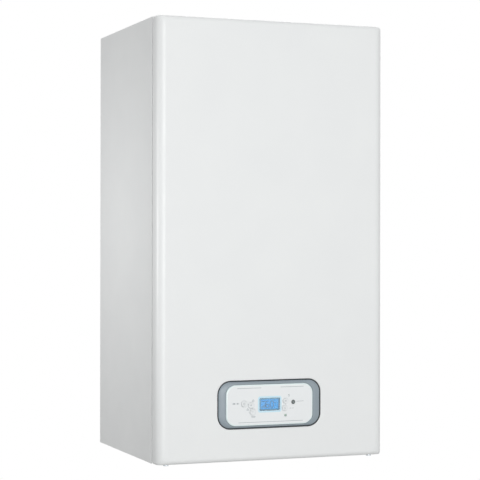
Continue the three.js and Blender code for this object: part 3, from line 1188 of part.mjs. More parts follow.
add('flow_manifold', flowManifold(), BRASS);
add('return_manifold', returnManifold(), BRASS);
add('filling_knob', fillingKnob(), [0x2a5ea8, 0.5, 0.0]);
add('flow_turbine', flowTurbine(), WHITE_PLASTIC);
add('plate_exchanger', plateExchanger(), STEEL);
add('pump_volute', pumpVolute(), [0x5b6166, 0.6, 0.5]);
add('pump_impeller', pumpImpeller(), WHITE_PLASTIC);
add('pump_motor', pumpMotor(), [0x3b5f86, 0.5, 0.1]);
add('diverter_spindle', diverterSpindle(), BRASS);
add('diverter_motor', diverterMotor(), WHITE_PLASTIC);
add('relief_valve', reliefValve(), BRASS);
add('relief_knob', reliefKnob(), [0xc0352b, 0.5, 0.0]);
add('air_vent', airVent(), BRASS);
add('flow_pipe', flowPipe(), COPPER);
add('return_pipe', returnPipe(), COPPER);
add('condensate_trap', condensateTrap(), WHITE_PLASTIC);
add('drain_hose', drainHose(), RUBBER);

export default boiler;
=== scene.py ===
"""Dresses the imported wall-hung combi boiler.

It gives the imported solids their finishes, puts finer skins over what is seen, and adds printed marks and
hardware.
"""
import logging
import math
from dataclasses import dataclass, field
from enum import Enum
from typing import Iterable, Sequence

import bmesh
import bpy
from mathutils import Matrix, Vector


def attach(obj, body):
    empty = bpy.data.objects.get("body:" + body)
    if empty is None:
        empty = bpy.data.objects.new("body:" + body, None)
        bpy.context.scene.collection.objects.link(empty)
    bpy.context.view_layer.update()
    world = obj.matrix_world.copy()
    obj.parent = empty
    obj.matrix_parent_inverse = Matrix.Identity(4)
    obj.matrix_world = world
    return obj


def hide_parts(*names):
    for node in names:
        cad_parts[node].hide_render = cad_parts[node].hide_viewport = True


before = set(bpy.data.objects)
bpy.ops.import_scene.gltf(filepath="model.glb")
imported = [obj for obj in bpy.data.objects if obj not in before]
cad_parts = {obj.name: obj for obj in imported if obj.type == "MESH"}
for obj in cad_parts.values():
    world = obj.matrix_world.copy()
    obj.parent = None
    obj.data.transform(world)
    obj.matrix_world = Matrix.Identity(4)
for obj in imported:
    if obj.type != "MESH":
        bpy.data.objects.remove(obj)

LOG = logging.getLogger("boiler")
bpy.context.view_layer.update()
MM = 0.001
RAIL = 672.0  # height of the origin above the casing's bottom edge, mm
HALF_WIDTH = 200.0  # half the casing's width, mm
HEIGHT = 720.0  # the casing's height, mm
TAILS = (-130.0, -65.0, 65.0, 130.0)  # where the four water tails stand across the tray, mm
TAIL_Y = -110.0  # and how far in front of the wall, mm
CREASE = 38.0  # edges steeper than this many degrees stay crisp
WELD_MM = 2e-3  # corners closer than this are one corner
FIN_HALF = 0.9  # half the thickness of a cast fin, mm
Tree = bpy.types.NodeTree
Socket = bpy.types.NodeSocket
Look = tuple[Socket, Socket | float, Socket]  # colour, roughness and height
Corners = list[bmesh.types.BMVert]
Point = Sequence[float]
Pair = tuple[float, float]
Size = tuple[float, float, float]  # width, height and corner radius
Outline = list[Pair]


class Axis(Enum):
    """Direction that a round piece is turned about."""

    X = 0
    Y = 1
    Z = 2


# ---------------------------------------------------------------- small helpers
def in_metres(point: Point) -> Vector:
    """Turns a point in millimetres, with its height from the casing's bottom edge, into metres in the frame.

    Args:
        point: x, y and height in millimetres.

    Returns:
        The same point as the frame holds it.
    """
    x, y, z = point
    return Vector((x * MM, y * MM, (z - RAIL) * MM))


def linear(colour: str) -> tuple[float, float, float, float]:
    """Turns an sRGB hex colour into the linear values that shaders take.

    Args:
        colour: six hex digits after a hash sign.

    Returns:
        Red, green, blue and full alpha.
    """
    parts = [int(colour[i:i + 2], 16) / 255 for i in (1, 3, 5)]
    red, green, blue = (c / 12.92 if c <= 0.04045 else ((c + 0.055) / 1.055) ** 2.4 for c in parts)
    return red, green, blue, 1.0


def add(tree: Tree, kind: str, inputs: dict | None = None, **settings: object) -> bpy.types.Node:
    """Adds a shader node with its settings, values and links.

    Args:
        tree: the material's or world's node tree.
        kind: the node's type name.
        inputs: for each input, by name or number, a value or the output socket that feeds it.
        settings: properties of the node itself.

    Returns:
        The new node.
    """
    made = tree.nodes.new(kind)
    for key, value in settings.items():
        setattr(made, key, value)
    for key, value in (inputs or {}).items():
        if isinstance(value, bpy.types.NodeSocket):
            tree.links.new(value, made.inputs[key])
        else:
            made.inputs[key].default_value = value
    return made


# ---------------------------------------------------------------- finishes
@dataclass(frozen=True)
class Finish:
    """A surface: what it is made of and how it was made. Sizes of its pattern are real millimetres."""

    name: str
    slot: str
    colour: str
    shade: str  # the darker tone of its slow variation
    roughness: float = 0.5
    metallic: float = 0.0
    ior: float = 1.5
    mottle_mm: float = 60.0
    mottle: float = 0.35  # how much of the darker tone comes through
    grain_mm: float = 1.0
    grain_depth_mm: float = 0.02
    stretch: tuple[float, float, float] = (1.0, 1.0, 1.0)  # pattern scale along x, y and z

    def material(self) -> bpy.types.Material:
        """Builds the material once and hands back the same one after that.

        Returns:
            The material that has this finish's name.
        """
        known = bpy.data.materials.get(self.name)
        if known:
            return known
        made = bpy.data.materials.new(self.name)
        made.use_nodes = True
        tree = made.node_tree
        tree.nodes.clear()
        where = add(tree, "ShaderNodeTexCoord").outputs["Object"]
        place = add(tree, "ShaderNodeMapping", {"Vector": where, "Scale": self.stretch}).outputs[0]
        colour, rough, height = self.pattern(tree, place)
        bump = add(tree, "ShaderNodeBump", {
            "Height": height, "Distance": self.grain_depth_mm * MM, "Strength": 1.0})
        shader = add(tree, "ShaderNodeBsdfPrincipled", {
            "Base Color": colour, "Roughness": rough, "Metallic": self.metallic, "Normal": bump.outputs[0]})
        if self.metallic < 0.5:
            shader.inputs["IOR"].default_value = self.ior
        self.finish(tree, shader, where)
        add(tree, "ShaderNodeOutputMaterial", {"Surface": shader.outputs[0]})
        return made

    def noise(self, tree: Tree, place: Socket, size_mm: float, detail: float = 2.0) -> Socket:
        """A cloud pattern whose blobs are about size_mm across, as a value from 0 to 1."""
        return add(tree, "ShaderNodeTexNoise", {
            "Vector": place, "Scale": 1 / (size_mm * MM), "Detail": detail}).outputs[0]

    def between(self, tree: Tree, value: Socket, low: float, high: float, start: float = 0.3,
                end: float = 0.7) -> Socket:
        """Spreads a pattern's middle range over low to high."""
        return add(tree, "ShaderNodeMapRange", {
            "Value": value, "From Min": start, "From Max": end, "To Min": low, "To Max": high}).outputs[0]

    def blend(self, tree: Tree, amount: Socket | float, first: Socket | str, second: Socket | str) -> Socket:
        """Mixes two colours, each a hex value or another node's colour."""
        pick = [linear(c) if isinstance(c, str) else c for c in (first, second)]
        return add(tree, "ShaderNodeMix", {0: amount, 6: pick[0], 7: pick[1]}, data_type="RGBA").outputs[2]

    def pattern(self, tree: Tree, place: Socket) -> Look:
        """Draws the surface; plain ones have slow clouds of a darker tone under a fine grain.

        Args:
            tree: the material's node tree.
            place: the point on the piece, stretched as the finish says.

        Returns:
            Colour, roughness and height.
        """
        slow = self.noise(tree, place, self.mottle_mm)
        colour = self.blend(tree, self.between(tree, slow, 0.0, self.mottle), self.colour, self.shade)
        rough = self.between(tree, self.noise(tree, place, self.mottle_mm / 3), self.roughness * 0.88,
                             self.roughness * 1.12)
        return colour, rough, self.noise(tree, place, self.grain_mm)

    def finish(self, tree: Tree, shader: bpy.types.Node, where: Socket) -> None:
        """Sets what only some surfaces have, such as a coat; plain ones need nothing."""


class PowderCoat(Finish):
    """Polyester powder baked on sheet steel: an even white with a faint orange peel and a soft gloss."""

    def finish(self, tree: Tree, shader: bpy.types.Node, where: Socket) -> None:
        """The cured skin is a little smoother than the pigment under it."""
        shader.inputs["Coat Weight"].default_value = 0.25
        shader.inputs["Coat Roughness"].default_value = 0.28


class GalvanisedSheet(Finish):
    """Hot-dip zinc on steel: spangles a few millimetres wide, each with its own tone."""

    def pattern(self, tree: Tree, place: Socket) -> Look:
        """Each Voronoi cell is one zinc crystal.

        Args:
            tree: the material's node tree.
            place: the point on the piece, stretched as the finish says.

        Returns:
            Colour, roughness and height.
        """
        cells = add(tree, "ShaderNodeTexVoronoi", {"Vector": place, "Scale": 1 / (self.grain_mm * MM)})
        tone = add(tree, "ShaderNodeSeparateColor", {0: cells.outputs["Color"]}).outputs[0]
        crystal = self.blend(tree, tone, self.colour, self.shade)
        stain = self.between(tree, self.noise(tree, place, self.mottle_mm), 0.0, self.mottle)
        colour = self.blend(tree, stain, crystal, self.shade)
        return colour, self.between(tree, tone, self.roughness - 0.07, self.roughness + 0.08, 0.0, 1.0), tone


class BrushedMetal(Finish):
    """Rolled, drawn or turned metal: fine lines along the way it was worked, set by the stretch."""

    def pattern(self, tree: Tree, place: Socket) -> Look:
        """Stretched noise draws the lines; slow clouds of handling dull them.

        Args:
            tree: the material's node tree.
            place: the point on the piece, stretched as the finish says.

        Returns:
            Colour, roughness and height.
        """
        lines = self.noise(tree, place, self.grain_mm, 4.0)
        slow = self.noise(tree, place, self.mottle_mm)
        worked = self.blend(tree, self.between(tree, lines, 0.0, 0.5), self.colour, self.shade)
        colour = self.blend(tree, self.between(tree, slow, 0.0, self.mottle), worked, self.shade)
        return colour, self.between(tree, lines, self.roughness - 0.06, self.roughness + 0.1), lines


class CastMetal(Finish):
    """Cast and shot-blasted metal: a dense grain of small pits, with darker flow marks."""

    def pattern(self, tree: Tree, place: Socket) -> Look:
        """Pits come from fine noise, flow marks from slow warped noise.

        Args:
            tree: the material's node tree.
            place: the point on the piece, stretched as the finish says.

        Returns:
            Colour, roughness and height.
        """
        pits = self.noise(tree, place, self.grain_mm, 5.0)
        flow = add(tree, "ShaderNodeTexNoise", {
            "Vector": place, "Scale": 1 / (self.mottle_mm * MM), "Detail": 3.0, "Distortion": 1.5}).outputs[0]
        marks = self.blend(tree, self.between(tree, flow, 0.0, self.mottle), self.colour, self.shade)
        colour = self.blend(tree, self.between(tree, pits, 0.35, 0.0, 0.25, 0.5), marks, self.shade)
        return colour, self.between(tree, pits, self.roughness + 0.1, self.roughness - 0.05), pits


class Tarnished(BrushedMetal):
    """Bare copper or brass that has been handled and heated: bright metal under brown and rosy stains."""

    def pattern(self, tree: Tree, place: Socket) -> Look:
        """Stains spread over the worked lines and take their shine away.

        Args:
            tree: the material's node tree.
            place: the point on the piece, stretched as the finish says.

        Returns:
            Colour, roughness and height.
        """
        colour, rough, lines = super().pattern(tree, place)
        stain = self.between(tree, self.noise(tree, place, self.mottle_mm / 2, 5.0), 0.0, 1.0, 0.52, 0.66)
        dull = add(tree, "ShaderNodeMath", {0: stain, 1: 0.14, 2: rough}, operation="MULTIPLY_ADD").outputs[0]
        return self.blend(tree, stain, colour, self.shade), dull, lines


class MouldedPlastic(Finish):
    """Injection-moulded ABS, PBT or nylon: even colour, the mould's spark-eroded grain, a satin shine."""


class CellRubber(Finish):
    """Closed-cell EPDM strip: open cut bubbles and a dusty, dull skin."""

    def pattern(self, tree: Tree, place: Socket) -> Look:
        """Voronoi distance makes the bubbles; their floors are darker with painted shade.

        Args:
            tree: the material's node tree.
            place: the point on the piece, stretched as the finish says.

        Returns:
            Colour, roughness and height.
        """
        cells = add(tree, "ShaderNodeTexVoronoi", {"Vector": place, "Scale": 1 / (self.grain_mm * MM)})
        depth = cells.outputs["Distance"]
        # darker at the bubble floors: painted shade
        return self.blend(tree, depth, self.shade, self.colour), self.roughness, depth


class CircuitLaminate(Finish):
    """Glass-epoxy board under green solder mask: straight copper tracks show through as lighter lines."""

    def pattern(self, tree: Tree, place: Socket) -> Look:
        """A brick pattern, laid in the board's own plane, is the run of tracks and pads.

        Args:
            tree: the material's node tree.
            place: the point on the piece, stretched as the finish says.

        Returns:
            Colour, roughness and height.
        """
        upright_plane = (math.pi / 2, 0.0, 0.0)
        flat = add(tree, "ShaderNodeMapping", {"Vector": place, "Rotation": upright_plane}).outputs[0]
        tracks = add(tree, "ShaderNodeTexBrick", {
            "Vector": flat, "Color1": linear(self.colour), "Color2": linear(self.shade),
            "Mortar": linear("#6FA571"), "Scale": 1 / (self.mottle_mm * MM), "Mortar Size": 0.02},
                     offset=0.35)
        weave = self.noise(tree, place, self.grain_mm)
        return tracks.outputs["Color"], self.roughness, weave


@dataclass(frozen=True)
class ClearAcrylic(Finish):
    """Polished acrylic: clear right through, with hairline scratches that only touch the shine."""

    clearness: float = 1.0

    def finish(self, tree: Tree, shader: bpy.types.Node, where: Socket) -> None:
        """Light passes through it."""
        shader.inputs["Transmission Weight"].default_value = self.clearness


@dataclass(frozen=True)
class LitDisplay(Finish):
    """Backlit liquid-crystal panel: an even glow with faint slow clouds, under a fine pixel grid."""

    glow: float = 0.8

    def pattern(self, tree: Tree, place: Socket) -> Look:
        """The pixel grid is drawn 0.5 mm wide, coarser than the real one, so that it shows.

        Args:
            tree: the material's node tree.
            place: the point on the piece, stretched as the finish says.

        Returns:
            Colour, roughness and height.
        """
        upright_plane = (math.pi / 2, 0.0, 0.0)
        flat = add(tree, "ShaderNodeMapping", {"Vector": place, "Rotation": upright_plane}).outputs[0]
        pixels = add(tree, "ShaderNodeTexBrick", {
            "Vector": flat, "Color1": linear(self.colour), "Color2": linear(self.colour),
            "Mortar": linear(self.shade), "Scale": 1 / (self.grain_mm * MM), "Mortar Size": 0.06,
            "Brick Width": 1.0, "Row Height": 1.0}, offset=0.0).outputs["Color"]
        cloud = self.between(tree, self.noise(tree, place, self.mottle_mm), 0.0, self.mottle)
        colour = self.blend(tree, cloud, pixels, self.shade)
        return colour, self.roughness, cloud

    def finish(self, tree: Tree, shader: bpy.types.Node, where: Socket) -> None:
        """The same picture is what it gives off as light."""
        tree.links.new(shader.inputs["Base Color"].links[0].from_socket, shader.inputs["Emission Color"])
        shader.inputs["Emission Strength"].default_value = self.glow


# Polyester powder coat: near-neutral white; peel is really about 1.5 mm and very shallow
WHITE_COAT = PowderCoat("powder_coat_white", "white_paint", "#E9EBEB", "#E4E6E7", 0.42, mottle_mm=90,
                        grain_mm=1.5, grain_depth_mm=0.012)
# Hot-dip galvanised sheet: grey with 5 mm spangles
GALVANISED = GalvanisedSheet("galvanised_sheet", "zinc_sheet", "#C3C7CA", "#A4A9AD", 0.42, 0.9, mottle_mm=70,
                             mottle=0.3, grain_mm=5.0, grain_depth_mm=0.01)
# Bright zinc plating on turned or pressed steel: bluish, fine turning lines
BRIGHT_ZINC = BrushedMetal("bright_zinc_plate", "plated_screw", "#CDD2D6", "#A6ACB2", 0.28, 1.0, mottle_mm=6,
                           grain_mm=0.5, grain_depth_mm=0.006)
# EPDM foam strip, cut from a block: dead dark grey, its open 1 mm bubbles show as darker specks of painted
# shade
EPDM_FOAM = CellRubber("epdm_foam", "foam_seal", "#3A3D40", "#232527", 0.9, grain_mm=1.1, grain_depth_mm=0.25)
# PC/ABS housing grain is really 0.3 mm wide; drawn at 0.7 mm so that it shows
DARK_HOUSING = MouldedPlastic("moulded_pc_abs_charcoal", "dark_plastic", "#34383C", "#2B2F32", 0.55,
                              mottle_mm=40, grain_mm=0.7, grain_depth_mm=0.03)
# Moulded glass-filled nylon: near black and satin; the 0.3 mm grain is drawn at 0.6 mm so that it shows
BLACK_NYLON = MouldedPlastic("moulded_nylon_black", "dark_plastic", "#212427", "#191B1E", 0.48,
                             mottle_mm=25, grain_mm=0.6, grain_depth_mm=0.025)
# Moulded ABS, coloured through, smoother than the housing: a soft sheen along the crowned band
GREY_FRAME = MouldedPlastic("moulded_abs_blue_grey", "grey_plastic", "#919DA5", "#88949C", 0.36,
                            mottle_mm=30, grain_mm=0.6, grain_depth_mm=0.01)
# Moulded ABS from a polished mould: even white, a little glossier than the cover round it
WHITE_FASCIA = MouldedPlastic("moulded_abs_white", "white_plastic", "#EAEDEE", "#E5E8EA", 0.34,
                              mottle_mm=50, grain_mm=0.5, grain_depth_mm=0.006)
# The same ABS, high gloss; its paler blue-green colour is a painted highlight: a pale shiny line round the
# fascia
PAINTED_HIGHLIGHT_RIM = MouldedPlastic("moulded_abs_white_painted_highlight", "white_plastic", "#ECF8F8", "#E2F1F1", 0.22,
                         mottle_mm=50, grain_mm=0.5, grain_depth_mm=0.004)
# Moulded ABS caps with a fine matt grain against finger marks: quiet discs, bright only at their rims
BUTTON_WHITE = MouldedPlastic("moulded_button_white", "white_plastic", "#E6E9EA", "#DFE3E4", 0.38,
                              mottle_mm=9, grain_mm=0.4, grain_depth_mm=0.006)
BUTTON_GREY = MouldedPlastic("moulded_button_grey", "button_dark", "#5E6766", "#545D5C", 0.42,
                             mottle_mm=9, grain_mm=0.4, grain_depth_mm=0.01)
# Moulded polypropylene: milky white with a waxy satin shine
WHITE_MOULDING = MouldedPlastic("moulded_pp_white", "white_plastic", "#E2E4E1", "#D3D6D2", 0.45,
                                mottle_mm=35, grain_mm=0.8, grain_depth_mm=0.03)
# Moulded ABS knobs, coloured through: strong even colour and soft highlights
RED_MOULDING = MouldedPlastic("moulded_abs_red", "red_plastic", "#BE3A2E", "#A32F25", 0.4,
                              mottle_mm=18, grain_mm=0.6, grain_depth_mm=0.02)
BLUE_MOULDING = MouldedPlastic("moulded_abs_blue", "blue_plastic", "#2C62AE", "#245394", 0.4,
                               mottle_mm=18, grain_mm=0.6, grain_depth_mm=0.02)
# Cast and polished acrylic: one sharp reflection over the display
CLEAR_WINDOW = ClearAcrylic("polished_acrylic", "lcd_blue", "#F4FBFF", "#EAF5FC", 0.04, ior=1.49,
                            grain_mm=4.0, grain_depth_mm=0.001)
# Back-lit liquid-crystal glass: clear blue that hardly changes with the light in the room
BLUE_SCREEN = LitDisplay("lit_display_blue", "lcd_blue", "#12A2E2", "#0E90D0", 0.3, mottle_mm=14, mottle=0.5,
                         grain_mm=0.5, grain_depth_mm=0.01, glow=0.16)
# Border screen-printed on the back of the window: flat and duller than the lit panel
TEAL_BEZEL = MouldedPlastic("printed_glass_teal", "lcd_blue", "#4E93B4", "#45809D", 0.3, mottle_mm=10,
                            grain_mm=0.5, grain_depth_mm=0.004)
# Liquid-crystal strokes that are switched on: they hold back most of the light, so they stay navy
DARK_SEGMENT = LitDisplay("display_segment_navy", "lcd_blue", "#22689C", "#1C5C8C", 0.35, mottle_mm=5,
                          grain_mm=0.5, grain_depth_mm=0.004, glow=0.08)
# Moulded acrylic light guide, unlit: pale green and slightly see-through
LAMP_GREEN = ClearAcrylic("moulded_light_guide_green", "lamp", "#C4DDCE", "#B5D1C1", 0.18, ior=1.49,
                          mottle_mm=3, grain_mm=0.8, grain_depth_mm=0.01, clearness=0.25)
# Pad-printed ink lies 0.01 mm thick; its pieces stand 0.04 mm proud so that they show
GREY_INK = MouldedPlastic("pad_print_grey", "grey_plastic", "#A9B0B4", "#9CA3A8", 0.6, mottle_mm=3,
                          grain_mm=0.3, grain_depth_mm=0.004)
FAINT_INK = MouldedPlastic("pad_print_pale", "grey_plastic", "#B4BABD", "#A8AFB2", 0.6, mottle_mm=3,
                           grain_mm=0.3, grain_depth_mm=0.004)
# Faint grey rings round the button caps: painted shadow of the gap round each cap, laid on as thin pieces
SHADOW_RING_PAINT = MouldedPlastic("painted_shadow_ring_grey", "grey_plastic", "#D6DBDD", "#CBD1D4", 0.6, mottle_mm=3,
                          grain_mm=0.3, grain_depth_mm=0.004)
CYAN_INK = MouldedPlastic("pad_print_cyan", "grey_plastic", "#CDEBF8", "#BFE2F1", 0.5, mottle_mm=4,
                          grain_mm=0.3, grain_depth_mm=0.004)
# Solder mask on glass-epoxy laminate: glossy green with lighter straight tracks
GREEN_BOARD = CircuitLaminate("solder_mask_green", "circuit_board", "#2C6B45", "#23583A", 0.35,
                              mottle_mm=9, grain_mm=0.8, grain_depth_mm=0.02)
# Stoved enamel sprayed on pressed steel and on the cast motor: glossy, with a wavy skin under its highlights
RED_ENAMEL = Finish("stoved_enamel_red", "red_paint", "#AE3229", "#93281F", 0.3, mottle_mm=80, mottle=0.6,
                    grain_mm=2.5, grain_depth_mm=0.03)
BLUE_ENAMEL = Finish("stoved_enamel_slate", "pump_paint", "#3C5F85", "#30506F", 0.38, mottle_mm=40,
                     mottle=0.6, grain_mm=1.4, grain_depth_mm=0.05)
# Pressure die-cast aluminium, shot-blasted: dull silver that scatters light from dense small pits
DIE_CAST = CastMetal("die_cast_aluminium", "castings", "#B4B8BA", "#8C9093", 0.5, 0.9, mottle_mm=35,
                     mottle=0.5, grain_mm=0.9, grain_depth_mm=0.06)
# Sand-cast grey iron, dip-coated: dark and coarse, with a broken shine on its peaks
SAND_CAST = CastMetal("dip_coated_cast_iron", "iron", "#4A4E52", "#333639", 0.5, 0.3, mottle_mm=25,
                      mottle=0.6, grain_mm=1.6, grain_depth_mm=0.15)
# Cold-rolled stainless sheet: bright, its highlight drawn out by fine lines along the drum
STAINLESS = BrushedMetal("rolled_stainless", "stainless", "#C6C9CB", "#9EA2A6", 0.3, 1.0, mottle_mm=45,
                         grain_mm=1.2, grain_depth_mm=0.006, stretch=(1.0, 0.08, 1.0))
# Thinner stainless, pressed into plates: brighter, with its lines across
PRESSED_STAINLESS = BrushedMetal("pressed_stainless", "stainless", "#CBCDCE", "#A1A5A8", 0.26, 1.0,
                                 mottle_mm=30, grain_mm=0.9, grain_depth_mm=0.006, stretch=(0.06, 1.0, 1.0))
# Coil machined all over: cutter lines along its axis and a softer shine
FINNED_COIL = BrushedMetal("machined_coil", "coil_metal", "#C2C5C7", "#8F9498", 0.34, 1.0, mottle_mm=20,
                           grain_mm=0.8, grain_depth_mm=0.01, stretch=(1.0, 0.1, 1.0))
# Fired alumina under a glaze: warm white with a small glassy highlight
ALUMINA = MouldedPlastic("glazed_alumina", "ceramic", "#EFEADF", "#E2DBCB", 0.12, ior=1.6, mottle_mm=8,
                         grain_mm=0.6, grain_depth_mm=0.006)
# Hot-pressed brass, left bare: yellow with a grained skin and brown stains
PRESSED_BRASS = Tarnished("hot_pressed_brass", "brass", "#C2A25C", "#8A6D38", 0.34, 1.0, mottle_mm=26,
                          mottle=0.4, grain_mm=0.8, grain_depth_mm=0.03)
# Drawn copper tube, left bare: rosy, with die lines along the pipe and darker heat stains
DRAWN_COPPER = Tarnished("drawn_copper", "copper", "#C9835B", "#8B4F36", 0.26, 1.0, mottle_mm=45,
                         mottle=0.5, grain_mm=0.7, grain_depth_mm=0.005, stretch=(1.0, 1.0, 0.06))
# Extruded EPDM: dull black-grey with a dusty bloom, fine darker specks of painted shade, and hardly a
# highlight
EPDM_HOSE = CellRubber("extruded_epdm", "hose", "#303336", "#26292B", 0.72, grain_mm=0.9, grain_depth_mm=0.02)
# Extruded silicone round the high-voltage wire: strong orange with a rubbery half shine
SILICONE_LEAD = MouldedPlastic("silicone_lead_orange", "red_plastic", "#C9572F", "#B34A27", 0.5,
                               mottle_mm=12, grain_mm=0.6, grain_depth_mm=0.01)
# Needled mineral felt: off-white, no shine, its surface broken by small shadows
MINERAL_FELT = CellRubber("mineral_felt", "foam_seal", "#C9C6BC", "#ABA89D", 0.95, grain_mm=1.6,
                          grain_depth_mm=0.3)


# ---------------------------------------------------------------- outlines
def rounded(width: float, height: float, radius: float, middle: Pair, bow: float = 0.0,
            per_corner: int = 10) -> Outline:
    """Draws a rounded rectangle in the upright plane that faces the room.

    Args:
        width: full width, mm.
        height: full height, mm.
        radius: corner radius, mm.
        middle: x and height of its middle, mm.
        bow: how far the left and right edges swell outwards, mm.
        per_corner: steps in each corner.

    Returns:
        Its points as x and height, anticlockwise from the right.
    """
    points = []
    for sx, sz, start in ((1, 1, 0), (-1, 1, 90), (-1, -1, 180), (1, -1, 270)):
        for step in range(per_corner + 1):
            angle = math.radians(start + 90 * step / per_corner)
            x = sx * (width / 2 - radius) + radius * math.cos(angle)
            z = sz * (height / 2 - radius) + radius * math.sin(angle)
            swell = bow * (1 - (2 * z / height) ** 2) * (2 * x / width)
            points.append((middle[0] + x + swell, middle[1] + z))
    return points


def grown(size: Size, grow: float, middle: Pair, bow: float = 0.0, per_corner: int = 10) -> Outline:
    """Draws a rounded rectangle that is larger by a margin all round."""
    width, height, radius = size
    return rounded(width + 2 * grow, height + 2 * grow, radius + grow, middle, bow, per_corner)


def disc(radius: float, middle: Pair, sides: int = 40) -> Outline:
    """Draws a circle in the upright plane that faces the room."""
    turns = (2 * math.pi * i / sides for i in range(sides))
    return [(middle[0] + radius * math.cos(t), middle[1] + radius * math.sin(t)) for t in turns]


def places_round(middle: Pair, radius: float, count: int, first: float) -> Outline:
    """Places for screws and nuts on a circle, evenly spaced; first is the angle of the first in degrees."""
    turns = (math.radians(first + 360 * i / count) for i in range(count))
    return [(middle[0] + radius * math.cos(t), middle[1] + radius * math.sin(t)) for t in turns]


def moved(profile: Outline, along: float, out: float = 0.0) -> Outline:
    """Pushes a turned piece's profile along its axis, and out from it."""
    return [(out + radius, along + position) for radius, position in profile]


def upright(outline: Outline, y: float) -> list[Vector]:
    """Stands an outline up at one distance from the wall."""
    return [Vector((x, y, z)) for x, z in outline]


def smooth_path(points: Sequence[Point], steps: int = 7) -> list[Vector]:
    """Runs a smooth curve through points.

    Args:
        points: the points it passes, mm.
        steps: new points for each stretch.

    Returns:
        The closer points of the curve.
    """
    stops = [Vector(p) for p in points]
    stops = [2 * stops[0] - stops[1], *stops, 2 * stops[-1] - stops[-2]]
    path = []
    for a, b, c, d in zip(stops, stops[1:], stops[2:], stops[3:]):
        for i in range(steps):
            t = i / steps
            path.append(0.5 * (2 * b + (c - a) * t + (2 * a - 5 * b + 4 * c - d) * t ** 2
                               + (3 * b - a - 3 * c + d) * t ** 3))
    return [*path, stops[-2]]


